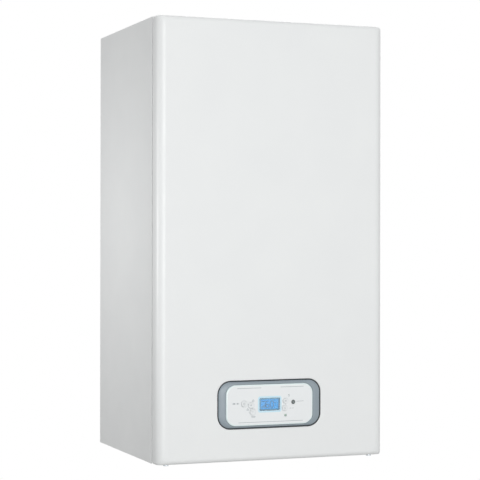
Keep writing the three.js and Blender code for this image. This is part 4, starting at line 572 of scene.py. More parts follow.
# ---------------------------------------------------------------- meshes
class Form:
    """A mesh while it is built, in millimetres with heights from the casing's bottom edge."""

    def __init__(self) -> None:
        """Starts with nothing."""
        self.mesh = bmesh.new()

    def loop(self, points: Iterable[Point]) -> Corners:
        """Puts down one closed row of corners."""
        return [self.mesh.verts.new(p) for p in points]

    def wall(self, first: Corners, second: Corners) -> None:
        """Joins two rows with a band of faces.

        Args:
            first: one closed row of corners.
            second: another with as many corners.
        """
        count = len(first)
        for i in range(count):
            j = (i + 1) % count
            self.mesh.faces.new((first[i], first[j], second[j], second[i]))

    def walls(self, rows: Sequence[Corners]) -> None:
        """Joins every row to the next."""
        for first, second in zip(rows, rows[1:]):
            self.wall(first, second)

    def fill(self, *loops: Corners) -> None:
        """Closes a flat face.

        Args:
            loops: the row round its outside, then the rows that stay open as holes.
        """
        edges = []
        for row in loops:
            for i, corner in enumerate(row):
                pair = (corner, row[(i + 1) % len(row)])
                edges.append(self.mesh.edges.get(pair) or self.mesh.edges.new(pair))
        bmesh.ops.triangle_fill(self.mesh, use_beauty=True, edges=edges)

    def skin(self, rings: Sequence[Sequence[Point]], ring_closed: bool = False) -> "Form":
        """Stretches a skin over rows of points.

        Args:
            rings: the rows, each with as many points.
            ring_closed: the last row joins the first; otherwise both ends are closed with a face.

        Returns:
            This form.
        """
        rows = [self.loop(ring) for ring in rings]
        self.walls(rows)
        if ring_closed:
            self.wall(rows[-1], rows[0])
        else:
            self.mesh.faces.new(rows[0])
            self.mesh.faces.new(rows[-1])
        return self

    def turned(self, axis: Axis, profile: Sequence[Pair], middle: Pair, sides: int = 32,
               ring: bool = False) -> "Form":
        """Turns a profile about an axis, as on a lathe.

        Args:
            axis: the direction of the axis.
            profile: radius and position along the axis, mm.
            middle: where the axis is on the other two directions, in x, y, z order.
            sides: steps around.
            ring: the profile closes on itself and leaves a bore.

        Returns:
            This form.
        """
        others = [a for a in range(3) if a != axis.value]
        rings = []
        for radius, position in profile:
            row = []
            for i in range(sides):
                angle = 2 * math.pi * i / sides
                point = [0.0, 0.0, 0.0]
                point[axis.value] = position
                point[others[0]] = middle[0] + max(radius, 1e-3) * math.cos(angle)
                point[others[1]] = middle[1] + max(radius, 1e-3) * math.sin(angle)
                row.append(point)
            rings.append(row)
        return self.skin(rings, ring)

    def block(self, low: Point, high: Point, edge: float = 0.6, steps: int = 2) -> "Form":
        """Adds a box with rounded edges.

        Args:
            low: its corner with the smallest values, mm.
            high: its corner with the largest values, mm.
            edge: radius of its edges, mm.
            steps: facets in each edge.

        Returns:
            This form.
        """
        size = Vector(high) - Vector(low)
        middle = (Vector(high) + Vector(low)) / 2
        to_place = Matrix.Translation(middle) @ Matrix.Diagonal((*size, 1.0))
        made = bmesh.ops.create_cube(self.mesh, size=1.0, matrix=to_place)
        edges = list({e for corner in made["verts"] for e in corner.link_edges})
        bmesh.ops.bevel(self.mesh, geom=edges, offset=edge, segments=steps, affect="EDGES", profile=0.5)
        return self

    def slab(self, outline: Outline, front: float, back: float, edge: float = 0.0) -> "Form":
        """Pushes an outline from front to back.

        Args:
            outline: its shape as seen from the room, mm.
            front: where it starts, mm.
            back: where it ends, mm.
            edge: how much its front edge is eased, mm.

        Returns:
            This form.
        """
        if not edge:
            return self.skin([upright(outline, front), upright(outline, back)])
        cx = sum(x for x, _ in outline) / len(outline)
        cz = sum(z for _, z in outline) / len(outline)
        reach = max(math.hypot(x - cx, z - cz) for x, z in outline)
        share = 1 - edge / reach
        inner = [(cx + (x - cx) * share, cz + (z - cz) * share) for x, z in outline]
        return self.skin([upright(inner, front), upright(outline, front + edge), upright(outline, back)])

    def tube(self, points: Sequence[Point], radius: float, sides: int = 14, ripple: float = 0.0) -> "Form":
        """Sweeps a round section along points.

        Args:
            points: the centre line, mm.
            radius: outside radius, mm.
            sides: steps around.
            ripple: how much every second row is thinner, as on a corrugated hose, mm.

        Returns:
            This form.
        """
        line = [Vector(p) for p in points]
        side = (line[1] - line[0]).orthogonal().normalized()
        rings = []
        for i, here in enumerate(line):
            ahead = (line[min(i + 1, len(line) - 1)] - line[max(i - 1, 0)]).normalized()
            side = (side - side.dot(ahead) * ahead).normalized()
            up = ahead.cross(side)
            reach = radius - (ripple if i % 2 else 0.0)
            turns = (2 * math.pi * k / sides for k in range(sides))
            rings.append([here + reach * (math.cos(t) * side + math.sin(t) * up) for t in turns])
        return self.skin(rings)

    def fins(self, middle: Pair, reach: Pair, count: int, span: Pair, kept: Pair) -> "Form":
        """Adds straight fins that stand out all round an axis pointing into the room.

        Args:
            middle: x and height of the axis, mm.
            reach: where each fin starts and ends, from the axis, mm.
            count: fins in a full round.
            span: their front and back, mm.
            kept: lowest and highest sine of the angles at which there are fins.

        Returns:
            This form.
        """
        for i in range(count):
            angle = 2 * math.pi * i / count
            if not kept[0] <= math.sin(angle) <= kept[1]:
                continue
            foot, tip = [(middle[0] + r * math.cos(angle), middle[1] + r * math.sin(angle)) for r in reach]
            dx, dz = -math.sin(angle) * FIN_HALF, math.cos(angle) * FIN_HALF
            self.slab([(foot[0] + dx, foot[1] + dz), (tip[0] + dx, tip[1] + dz),
                       (tip[0] - dx, tip[1] - dz), (foot[0] - dx, foot[1] - dz)], *span)
        return self

    def nut(self, axis: Axis, across: float, span: Pair, middle: Pair) -> "Form":
        """Adds a hexagon nut with chamfered corners.

        Args:
            axis: the direction of its thread.
            across: width across its flats, mm.
            span: where it starts and ends along the axis, mm.
            middle: its centre on the other two directions.

        Returns:
            This form.
        """
        low, high = span
        corner = across / math.sqrt(3)
        ease = 0.12 * (high - low)
        profile = [(corner * 0.9, low), (corner, low + ease), (corner, high - ease), (corner * 0.9, high)]
        return self.turned(axis, profile, middle, 6)

    def screw(self, axis: Axis, seat: float, out: int, middle: Pair, radius: float = 4.0,
              height: float = 2.4) -> "Form":
        """Adds a domed screw head with a round drive recess.

        Args:
            axis: the screw's axis.
            seat: where the head sits along it, mm.
            out: 1 or -1, the way the head faces.
            middle: its centre on the other two directions.
            radius: head radius, mm.
            height: head height, mm.

        Returns:
            This form.
        """
        shape = [(0, 0.4), (0.38, 0.4), (0.46, 0.95), (0.6, 0.92), (0.84, 0.66), (1.0, 0.2), (1.0, -0.08),
                 (0, -0.08)]  # shares of the radius and of the height
        return self.turned(axis, [(r * radius, seat + out * h * height) for r, h in shape], middle, 18)

    def piece(self, name: str, body: str, finish: Finish, replaces: Sequence[str] = (),
              sharp: float = CREASE) -> bpy.types.Object:
        """Closes the mesh and makes it a piece that rides on a body.

        Args:
            name: the piece's name.
            body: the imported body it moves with.
            finish: its surface.
            replaces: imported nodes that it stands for.
            sharp: edges steeper than this many degrees stay crisp.

        Returns:
            The new object.
        """
        bmesh.ops.remove_doubles(self.mesh, verts=self.mesh.verts, dist=WELD_MM)
        bmesh.ops.recalc_face_normals(self.mesh, faces=self.mesh.faces)
        for corner in self.mesh.verts:
            corner.co = in_metres(corner.co)
        data = bpy.data.meshes.new(name)
        self.mesh.to_mesh(data)
        self.mesh.free()
        data.shade_smooth()
        data.set_sharp_from_angle(angle=math.radians(sharp))
        data.materials.append(finish.material())
        made = bpy.data.objects.new(name, data)
        bpy.context.scene.collection.objects.link(made)
        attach(made, body)
        if replaces:
            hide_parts(*replaces)
        LOG.info("%s: %s on %s, %d faces", name, finish.name, body, len(data.polygons))
        return made


def dress(name: str, finish: Finish, edge_mm: float = 0.4) -> None:
    """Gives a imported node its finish, eased edges and smooth round faces.

    Args:
        name: the node.
        finish: its surface.
        edge_mm: width of the eased edge; 0 keeps its edges crisp.
    """
    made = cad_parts[name]
    made.data.materials.clear()
    made.data.materials.append(finish.material())
    marks = made.data.attributes.get("custom_normal")
    if marks:
        made.data.attributes.remove(marks)
    made.data.shade_smooth()
    made.modifiers.new("join_facets", "WELD").merge_threshold = WELD_MM * MM
    if edge_mm:
        ease = made.modifiers.new("ease_edges", "BEVEL")
        ease.width = edge_mm * MM
        ease.segments = 2
        ease.angle_limit = math.radians(CREASE)
        made.modifiers.new("flat_stays_flat", "WEIGHTED_NORMAL")
    else:
        made.modifiers.new("crisp_edges", "EDGE_SPLIT").split_angle = math.radians(CREASE)
    LOG.info("%s: packed node in %s", name, finish.name)


def dress_all(names: Iterable[str], finish: Finish, edge_mm: float = 0.4) -> None:
    """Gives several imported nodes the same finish."""
    for name in names:
        dress(name, finish, edge_mm)


# ---------------------------------------------------------------- front cover
@dataclass
class FrontCover:
    """The folded and powder-coated front of the casing, with its window, felt and stiffeners."""

    half: float = HALF_WIDTH
    height: float = HEIGHT
    front: float = -325.0
    lip_end: float = -297.0
    sheet: float = 1.5
    edge_radius: float = 15.0
    rim_radius: float = 7.0
    window: Size = (182.2, 79.0, 22.4)
    window_middle: Pair = (-6.0, 92.3)
    roll: float = 1.2  # rolled edge of the window
    felt: tuple[float, float, float, float] = (-150.0, 150.0, 455.0, 690.0)  # left, right, low, high

    def ring(self, turn: float, inside: float) -> list[Vector]:
        """One row round the cover.

        Args:
            turn: how far round the folded side edge it lies, from 0 at the lip to 90 degrees on the face.
            inside: how deep it lies under the outer skin, mm.

        Returns:
            The row's points.
        """
        sine, cosine = math.sin(math.radians(turn)), math.cos(math.radians(turn))
        depth = self.edge_radius * (1 - sine)
        side = self.edge_radius * (1 - cosine)
        rim = self.rim_radius
        shallow = rim - math.sqrt(rim ** 2 - (rim - depth) ** 2) if depth < rim else 0.0
        share, across = inside * sine, inside * cosine
        corner = max(4.0 + side * 0.3 - inside, 1.5)
        width = 2 * (self.half - side - across)
        height = self.height - 2 * (shallow + min(inside, across + 0.6))
        outline = rounded(width, height, corner, (0, self.height / 2), per_corner=8)
        return upright(outline, self.front + depth + share)

    def window_ring(self, grow: float, y: float) -> list[Vector]:
        """One row round the window, grown by a margin, at a distance from the wall."""
        return upright(grown(self.window, grow, self.window_middle), y)

    def skin(self) -> Form:
        """The sheet itself: outer skin, inner skin, and the edges that join them.

        Returns:
            The sheet before it becomes a piece.
        """
        form = Form()
        turns = [0, 10, 20, 30, 40, 50, 60, 68, 76, 83, 90]
        lip = [(1.4, self.lip_end - 0.9), (1.3, self.lip_end - 1.5), (0.8, self.lip_end - 2.3),
               (0.25, self.lip_end - 3.0), (0.0, self.lip_end - 4.2)]
        outer = [*([Vector((p.x, y, p.z)) for p in self.shrink(self.ring(0, 0), by)] for by, y in lip),
                 *(self.ring(t, 0) for t in turns)]
        inner = [*(self.ring(t, self.sheet) for t in reversed(turns)),
                 [Vector((p.x, self.lip_end - 0.9, p.z)) for p in self.ring(0, self.sheet)]]
        rows = [form.loop(r) for r in outer]
        flat = form.loop(self.shrink(outer[-1], 1.5))
        back = [form.loop(r) for r in inner]
        form.walls([*rows, flat])
        form.walls(back)
        form.wall(back[-1], rows[0])
        bend = [math.radians(a) for a in (0, 30, 60, 90)]
        steps = [(self.roll + 1.0, 0.0), *((self.roll * (1 - math.sin(a)), self.roll * (1 - math.cos(a)))
                                           for a in bend), (0.0, self.sheet)]
        hole = [form.loop(self.window_ring(grow, self.front + depth)) for grow, depth in steps]
        form.walls(hole)
        form.fill(flat, hole[0])
        form.fill(back[0], hole[-1])
        return form

    def shrink(self, row: list[Vector], by: float) -> list[Vector]:
        """The same row on the flat face, by millimetres further in."""
        mid = self.height / 2
        return [Vector((p.x - math.copysign(by, p.x), p.y, p.z - math.copysign(by, p.z - mid))) for p in row]

    def build(self) -> None:
        """Makes the cover and what is fixed inside it."""
        self.skin().piece("front_cover_sheet", "cover", WHITE_COAT, ["front_cover"], sharp=50)
        left, right, low, high = self.felt
        back = self.front + self.sheet
        Form().block((left, back + 0.1, low), (right, back + 5, high), 1.5).piece(
            "cover_felt", "cover", MINERAL_FELT)
        pins = Form()
        washer = moved([(0, 5.9), (5, 5.7), (8, 5.2), (8.5, 4.6), (0, 4.6)], back)
        for x in (left + 20, 0.0, right - 20):
            for z in (low + 20, high - 20):
                pins.turned(Axis.Y, washer, (x, z), 20)
        pins.piece("cover_felt_washers", "cover", BRIGHT_ZINC)
        ribs = Form()
        for z in (412.0, 434.0):
            ribs.block((-176, back + 0.1, z), (60, back + 3.4, z + 9), 1.4, 3)
        ribs.piece("cover_stiffeners", "cover", GALVANISED)
        edges = [(1.4, back + 0.05), (1.4, back + 1.0), (-1.9, back + 1.0), (-1.9, back + 0.05)]
        strip = [self.window_ring(grow, y) for grow, y in edges]
        Form().skin(strip, ring_closed=True).piece("window_gasket", "cover", EPDM_FOAM)
        dress_all(["cover_screw_left", "cover_screw_right"], BRIGHT_ZINC, 0.25)


# ---------------------------------------------------------------- casing
@dataclass
class Casing:
    """Side, top and back sheets, tray, frame, seal and wall bracket, with their rivets and screws."""

    height: float = HEIGHT
    tray: float = 31.5  # upper face of the bottom tray
    drain: Pair = (-165.0, -209.0)  # where the drain hose passes the tray

    def dress_sheets(self) -> None:
        """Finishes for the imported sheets."""
        dress_all(["side_panel_left", "side_panel_right", "top_panel"], WHITE_COAT, 0.5)
        dress_all(["wall_bracket", "back_panel", "bottom_tray", "front_frame"], GALVANISED, 0.3)
        dress("cover_seal", EPDM_FOAM, 1.2)

    def build(self) -> None:
        """Dresses the casing and makes its fixings."""
        self.dress_sheets()
        screws = Form()
        for side in (-1, 1):
            for y in (-270, -150, -35):
                screws.screw(Axis.Z, self.height, 1, (side * 184, y), 4.2, 2.2)
        screws.piece("top_panel_screws", "casing", BRIGHT_ZINC)
        rivets = Form()
        for side in (-1, 1):
            for z in (90, 250, 610, 690):
                rivets.screw(Axis.Y, -12.0, 1, (side * 176, z), 3.4, 1.2)
            for z in (215, 330, 450, 570, 680):
                rivets.screw(Axis.Y, -317.6, -1, (side * 181, z), 2.4, 0.9)
        rivets.piece("sheet_rivets", "casing", BRIGHT_ZINC)
        grommets = Form()
        for x in TAILS:
            self.grommet(grommets, (x, TAIL_Y), 13.4)
        self.grommet(grommets, (0, TAIL_Y), 9.4)
        self.grommet(grommets, self.drain, 9.4)
        grommets.piece("tray_grommets", "casing", EPDM_HOSE)
        beads = Form()
        for z in (95.0, 190.0):
            beads.block((-150, -12.2, z), (150, -9.4, z + 12), 1.2, 3)
        beads.piece("back_panel_beads", "casing", GALVANISED)

    def grommet(self, form: Form, middle: Pair, bore: float) -> None:
        """Adds a rubber ring round a pipe where it passes the tray.

        Args:
            form: the mesh that it joins.
            middle: the pipe's place over the tray, mm.
            bore: the ring's inside radius, mm.
        """
        top, low = self.tray + 0.1, self.tray - 3.4
        lip = [(bore, low), (bore + 4, low), (bore + 4.6, low + 1.6), (bore + 4, top + 2.2),
               (bore + 1.2, top + 3.2), (bore, top + 3.2)]
        form.turned(Axis.Z, lip, middle, 28, ring=True)


# ---------------------------------------------------------------- control panel
@dataclass
class ControlPanel:
    """What is seen through the cover's window: grey frame, white fascia, blue display, buttons and marks."""

    middle: Pair = (-7.0, 92.0)
    frame_middle: Pair = (-6.0, 92.3)
    fascia_middle: Pair = (-6.6, 91.4)
    face: float = -327.8
    sheet: float = 2.0  # the fascia's thickness
    surround: Size = (178.4, 75.2, 20.5)
    fascia: Size = (150.0, 67.0, 15.0)
    bow: float = 2.2  # how far the fascia's sides swell outwards
    crown: float = 2.6  # how far the grey band falls from the fascia to its outer edge
    plate: Pair = (-322.0, -319.0)  # its front and back
    plate_size: Pair = (250.0, 106.0)
    plate_middle: Pair = (-7.0, 97.0)
    display: Pair = (36.0, 20.5)
    gap: float = 0.25  # round each cap
    cap_rise: float = 1.3  # how far the caps stand in front of the fascia
    dish: float = 0.32  # depth of the dish in each cap
    ink: Pair = (0.04, 0.02)  # how far ink stands proud of its ground, and reaches into it
    controls: dict[str, tuple[float, float, float]] = field(default_factory=lambda: {
        "mode_button": (-45.3, 2.0, 4.8), "plus_button": (-33.2, -0.6, 4.8),
        "minus_button": (-30.4, -11.4, 4.8), "heating_button": (27.6, 4.6, 4.2),
        "water_button": (26.2, -7.0, 4.2), "reset_button": (41.6, 2.4, 3.3)})  # place and radius
    lamp: tuple[float, float, float] = (27.9, -18.8, 2.0)

    def outline(self, grow: float) -> Outline:
        """The fascia's outline grown by a margin."""
        return grown(self.fascia, grow, self.fascia_middle, self.bow, 14)

    def frame_outline(self, grow: float) -> Outline:
        """The grey frame's outer outline grown by a margin."""
        return grown(self.surround, grow, self.frame_middle, 0.0, 14)

    def build_frame(self) -> None:
        """The grey frame: a plate behind the cover and a crowned band that rises to the fascia."""
        inner, outer = self.outline(1.4), self.frame_outline(-1.0)
        crest = self.face + 0.8
        rings = [upright(self.outline(0.3), self.plate[1]), upright(self.outline(0.3), crest + 0.6),
                 upright(self.outline(0.7), crest + 0.1), upright(inner, crest)]
        for share in (0.2, 0.4, 0.6, 0.8):
            row = [(a[0] + (b[0] - a[0]) * share, a[1] + (b[1] - a[1]) * share) for a, b in zip(inner, outer)]
            rings.append(upright(row, crest + self.crown * share ** 1.4))
        rings += [upright(outer, crest + 2.7), upright(self.frame_outline(-0.3), crest + 3.1),
                  upright(self.frame_outline(0.0), crest + 3.7),
                  upright(self.frame_outline(0.0), self.plate[0])]
        plate = rounded(*self.plate_size, 3.0, self.plate_middle, 0.0, 14)
        rings += [upright(plate, self.plate[0]), upright(plate, self.plate[1])]
        Form().skin(rings, ring_closed=True).piece(
            "control_frame", "control_box", GREY_FRAME, ["control_surround"])

    def build_fascia(self) -> None:
        """The fascia's face with its openings, and the rounded rim that carries it, paler with a painted
        highlight.
        """
        rim_back = self.face + 5.0
        turns = [math.radians(a) for a in range(90, -1, -15)]
        arc = [(2.2 * math.cos(t), 2.1 * (1 - math.sin(t))) for t in turns]
        rings = [upright(self.outline(-2.2 + inset), self.face + depth) for inset, depth in arc]
        rings += [upright(self.outline(0.0), rim_back), upright(self.outline(-2.0), rim_back),
                  upright(self.outline(-2.2), self.face + self.sheet)]
        # the rim's paler blue-green colour is a painted highlight
        Form().skin(rings, ring_closed=True).piece("fascia_rim", "control_box", PAINTED_HIGHLIGHT_RIM)
        form = Form()
        holes = [disc(radius + self.gap, self.place(dx, dz)) for dx, dz, radius in
                 [*self.controls.values(), self.lamp]]
        holes.append(rounded(self.display[0] + 0.3, self.display[1] + 0.3, 1.5, self.middle, 0.0, 6))
        fronts, backs = [], []
        for outline in (self.outline(-2.21), *holes):
            near, far = [form.loop(upright(outline, y)) for y in (self.face, self.face + self.sheet)]
            form.wall(near, far)
            fronts.append(near)
            backs.append(far)
        form.fill(*fronts)
        form.fill(*backs)
        form.piece("fascia_face", "control_box", WHITE_FASCIA, ["fascia"])

    def place(self, dx: float, dz: float) -> Pair:
        """A control's centre from its distance to the panel's middle."""
        return self.middle[0] + dx, self.middle[1] + dz

    def build_display(self) -> None:
        """Clear window, printed bezel, lit panel and its plain figures."""
        width, height = self.display
        pane = rounded(width, height, 1.4, self.middle, 0.0, 6)
        Form().slab(pane, self.face + 0.3, self.face + 1.1, 0.25).piece(
            "display_window", "control_box", CLEAR_WINDOW, ["display_lens"])
        x, z = self.middle
        low = (x - width / 2 + 0.4, self.face + 1.9, z - height / 2 + 0.4)
        high = (x + width / 2 - 0.4, self.face + 2.7, z + height / 2 - 0.4)
        Form().block(low, high, 0.2).piece("display_panel", "control_box", BLUE_SCREEN)
        rings = []
        for grow, depth in ((-0.3, 1.3), (-0.3, 1.85), (-2.4, 1.85), (-2.4, 1.3)):
            border = rounded(width + 2 * grow, height + 2 * grow, 1.0, self.middle, 0.0, 6)
            rings.append(upright(border, self.face + depth))
        Form().skin(rings, ring_closed=True).piece("display_bezel", "control_box", TEAL_BEZEL)
        figures = Form()
        for digit, dx in (("6", -3.6), ("0", 4.4)):
            self.figure(figures, digit, dx)
        self.bar(figures, 9.9, 1.9, 3.2, 0.9)
        self.bar(figures, 9.9, -1.9, 0.9, 0.9)
        for step, tall in enumerate((2.0, 3.4, 4.8, 6.2)):
            self.bar(figures, -13.6 + 2.0 * step, -5.6 + tall / 2, 1.2, tall)
        self.bar(figures, -10.6, 4.6, 6.4, 1.0)
        figures.piece("display_figures", "control_box", DARK_SEGMENT)

    def bar(self, form: Form, dx: float, dz: float, width: float, height: float) -> None:
        """Adds one dark stroke of the display.

        Args:
            form: the mesh that it joins.
            dx: its middle, across from the panel's, mm.
            dz: its middle, above the panel's, mm.
            width: its width, mm.
            height: its height, mm.
        """
        x, z = self.place(dx, dz)
        front, back = self.face + 1.84, self.face + 1.92
        form.block((x - width / 2, front, z - height / 2), (x + width / 2, back, z + height / 2), 0.02, 1)

    def figure(self, form: Form, digit: str, dx: float) -> None:
        """Adds a seven-stroke figure 6.7 mm wide and 11.3 mm high.

        Args:
            form: the mesh that it joins.
            digit: which figure.
            dx: its middle, across from the panel's, mm.
        """
        lying, standing = (4.6, 1.3), (1.3, 4.2)
        strokes = {"a": (0, 5.0, *lying), "g": (0, 0, *lying), "d": (0, -5.0, *lying),
                   "f": (-2.7, 2.5, *standing), "e": (-2.7, -2.5, *standing),
                   "b": (2.7, 2.5, *standing), "c": (2.7, -2.5, *standing)}
        lit = {"6": "afgedc", "0": "abcdef"}[digit]
        for key in lit:
            x, z, width, height = strokes[key]
            self.bar(form, dx + x, z, width, height)

    def build_buttons(self) -> None:
        """Push caps with a shallow dish, and the lamp's domed light guide."""
        cap = self.face - self.cap_rise
        shape = [(0, 0.35), (0.5, 0.3), (0.78, 0.12), (0.86, 0.02), (0.93, 0.1), (0.98, 0.45), (1.0, 0.9)]
        for name, (dx, dz, radius) in self.controls.items():
            profile = [(r * radius, cap + depth) for r, depth in shape]
            profile += [*moved([(0, 4.4), (0.8, 4.4), (0.8, 5.6)], cap, radius), (0, cap + 5.6)]
            finish = BUTTON_GREY if name == "reset_button" else BUTTON_WHITE
            Form().turned(Axis.Y, profile, self.place(dx, dz), 44).piece(f"{name}_cap", name, finish, [name])
        dx, dz, _ = self.lamp
        dome = [(0, -0.4), (0.9, -0.33), (1.5, -0.12), (1.9, 0.3), (2.0, 0.8), (2.0, 2.3), (3.0, 2.3),
                (3.0, 4.0), (2.0, 4.0), (2.0, 15.5), (0, 15.5)]
        Form().turned(Axis.Y, moved(dome, self.face), self.place(dx, dz), 28).piece(
            "status_lamp_guide", "control_box", LAMP_GREEN, ["status_lamp"])

    def stroke(self, form: Form, start: Pair, end: Pair, width: float = 0.5, lift: float = 0.0) -> None:
        """Adds a printed line.

        Args:
            form: the mesh that it joins.
            start: x and height of one end, mm.
            end: x and height of the other end, mm.
            width: its width, mm.
            lift: how far its ground stands in front of the fascia, mm.
        """
        a, b = Vector(start), Vector(end)
        side = (b - a).normalized().orthogonal() * width / 2
        corners = [a + side, b + side, b - side, a - side]
        front = self.face - lift
        proud, deep = self.ink
        form.slab([(c.x, c.y) for c in corners], front - proud, front + deep)

    def arc(self, form: Form, middle: Pair, radius: float, start: float, end: float, width: float = 0.45,
            steps: int = 10, lift: float = 0.0) -> None:
        """Adds a printed arc.

        Args:
            form: the mesh that it joins.
            middle: x and height of its middle, mm.
            radius: radius of its middle line, mm.
            start: angle at one end, degrees.
            end: angle at the other end, degrees.
            width: its width, mm.
            steps: straight lines that it is made of.
            lift: how far its ground stands in front of the fascia, mm.
        """
        turns = [math.radians(start + (end - start) * i / steps) for i in range(steps + 1)]
        points = [(middle[0] + radius * math.cos(t), middle[1] + radius * math.sin(t)) for t in turns]
        for a, b in zip(points, points[1:]):
            self.stroke(form, a, b, width, lift)

    def build_marks(self) -> None:
        """Plain lines and general signs printed round the controls, and faint grey rings round the caps that
        are painted shadow.
        """
        pale, faint, grey = Form(), Form(), Form()
        for x0, x1, z in ((-64, -22, 119.2), (12, 53, 119.6), (-62, 52, 63.6)):
            self.stroke(pale, (x0, z), (x1, z), 0.8)
        # the faint rings round the caps are painted shadow of their gaps
        for name, (dx, dz, radius) in self.controls.items():
            if name != "reset_button":
                self.arc(faint, self.place(dx, dz), radius + 1.1, 0, 360, 0.4, 36)
        pale.piece("fascia_print_lines", "control_box", FAINT_INK)
        faint.piece("fascia_painted_shadow_rings", "control_box", SHADOW_RING_PAINT)
        halo = [upright(grown((*self.display, 1.5), grow, self.middle, 0.0, 6), self.face + y)
                for grow, y in ((0.25, -0.03), (2.9, -0.03), (2.9, 0.02), (0.25, 0.02))]
        Form().skin(halo, ring_closed=True).piece("display_halo_print", "control_box", CYAN_INK)
        for x in (-70.8, -68.6, -63.4):  # a row of dots with a line through it
            self.arc(grey, (x, 94.6), 0.9, 0, 360, 0.8, 12)
        self.stroke(grey, (-66.8, 94.6), (-60.2, 94.6), 0.5)
        self.arc(grey, (-36.3, 98.6), 1.6, 120, 420, 0.6)  # on and off
        self.stroke(grey, (-36.3, 98.8), (-36.3, 101.0), 0.6)
        triangle = ((-47.6, 83.6), (-44.0, 83.6), (-45.8, 86.6))
        for a, b in zip(triangle, (*triangle[1:], triangle[0])):
            self.stroke(grey, a, b, 0.7)
        for dx in (-2.4, 0.0, 2.4):  # three humps on a line
            self.arc(grey, (-35.9 + dx, 72.4), 1.2, 0, 180, 0.6, 6)
        for a, b in (((-39.2, 71.2), (-32.6, 71.2)), ((40.5, 95.2), (53.0, 95.6)),
                     ((27.6, 84.4), (31.2, 84.4)), ((32.6, 84.4), (35.4, 84.4))):
            self.stroke(grey, a, b, 0.6)
        self.arc(grey, (26.8, 105.0), 1.3, 200, 520, 0.55)  # a knob with its pointer
        self.stroke(grey, (25.6, 106.4), (28.2, 107.6), 0.5)
        grey.piece("fascia_print_signs", "control_box", GREY_INK)
        self.build_cap_marks()

    def build_cap_marks(self) -> None:
        """A general sign in the dish of each cap, which moves with it."""
        lift = self.cap_rise - self.dish
        for name, (dx, dz, radius) in self.controls.items():
            x, z = self.place(dx, dz)
            form = Form()
            if name in ("plus_button", "minus_button"):
                self.stroke(form, (x - 1.7, z), (x + 1.7, z), 0.5, lift)
            if name == "plus_button":
                self.stroke(form, (x, z + 0.26), (x, z + 1.7), 0.5, lift)
                self.stroke(form, (x, z - 1.7), (x, z - 0.26), 0.5, lift)
            if name == "mode_button":
                self.arc(form, (x, z), 1.6, 125, 415, 0.45, 12, lift)
                self.stroke(form, (x, z + 0.5), (x, z + 2.1), 0.45, lift)
            if name == "heating_button":
                for step in (-1.2, 0.0, 1.2):
                    self.stroke(form, (x + step, z - 1.3), (x + step, z + 1.3), 0.5, lift)
            if name == "water_button":
                self.arc(form, (x, z - 0.5), 1.2, 150, 390, 0.45, 10, lift)
                self.stroke(form, (x - 1.04, z + 0.1), (x, z + 1.8), 0.45, lift)
                self.stroke(form, (x + 1.04, z + 0.1), (x, z + 1.8), 0.45, lift)
            if name == "reset_button":
                self.arc(form, (x, z), 1.1, 40, 320, 0.4, 10, lift)
            finish = FAINT_INK if name == "reset_button" else GREY_INK
            form.piece(f"{name}_sign", name, finish)

    def build(self) -> None:
        """Makes the whole panel."""
        self.build_frame()
        self.build_fascia()
        self.build_display()
        self.build_buttons()
        self.build_marks()


# ---------------------------------------------------------------- control box
@dataclass
class ControlBox:
    """The tilting housing behind the panel, its circuit board and its hinge."""

    left: float = -132.0
    right: float = 118.0
    low: float = 44.0
    high: float = 150.0
    rear: float = -262.0
    board_back: float = -309.4
    gland_y: float = -278.0
    contact_pitch: float = 4.2

    def build(self) -> None:
        """Dresses the housing and adds its lid ribs, screws, glands and board parts."""
        dress("control_housing", DARK_HOUSING, 0.5)
        dress("display_module", BLACK_NYLON, 0.3)
        dress("control_board", GREEN_BOARD, 0.2)
        dress_all(["hinge_pin_left", "hinge_pin_right"], BRIGHT_ZINC, 0.2)
        screws = Form()
        for x in (self.left + 12, self.right - 12):
            for z in (self.low + 12, self.high - 12):
                screws.screw(Axis.Y, self.rear, 1, (x, z), 4.0, 2.2)
        screws.piece("housing_screws", "control_box", BRIGHT_ZINC)
        ribs = Form()
        for i in range(9):
            x = self.left + 34 + 22 * i
            ribs.block((x, self.rear - 0.2, self.low + 26), (x + 2.4, self.rear + 1.6, self.high - 26), 0.5)
        for i in range(6):
            y = -310.0 + 8 * i
            ribs.block((self.left + 40, y, self.high - 0.3), (self.left + 96, y + 3, self.high + 0.9), 0.4)
        ribs.piece("housing_ribs", "control_box", DARK_HOUSING)
        glands = Form()
        gland = [(0, 42.0), (4.5, 42.0), (6.0, 42.8), (7.5, 43.2), (7.5, 44.3), (0, 44.3)]
        for x in (-40.0, -12.0, 16.0, 44.0):
            glands.turned(Axis.Z, gland, (x, self.gland_y), 24)
        glands.piece("housing_grommets", "control_box", EPDM_HOSE)
        sockets = Form()
        back, pitch = self.board_back, self.contact_pitch
        for x, z, count in ((-104.0, 112.0, 6), (-66.0, 60.0, 4), (-20.0, 86.0, 8), (52.0, 112.0, 5)):
            sockets.block((x, back - 0.1, z), (x + (pitch * count + 3), back + 9, z + 9), 0.5)
            for i in range(count):
                sockets.block((x + 2.4 + pitch * i, back + 8.8, z + 3), (
                    x + 4.4 + pitch * i, back + 10.4, z + 6), 0.3)
        sockets.piece("board_sockets", "control_box", WHITE_MOULDING)


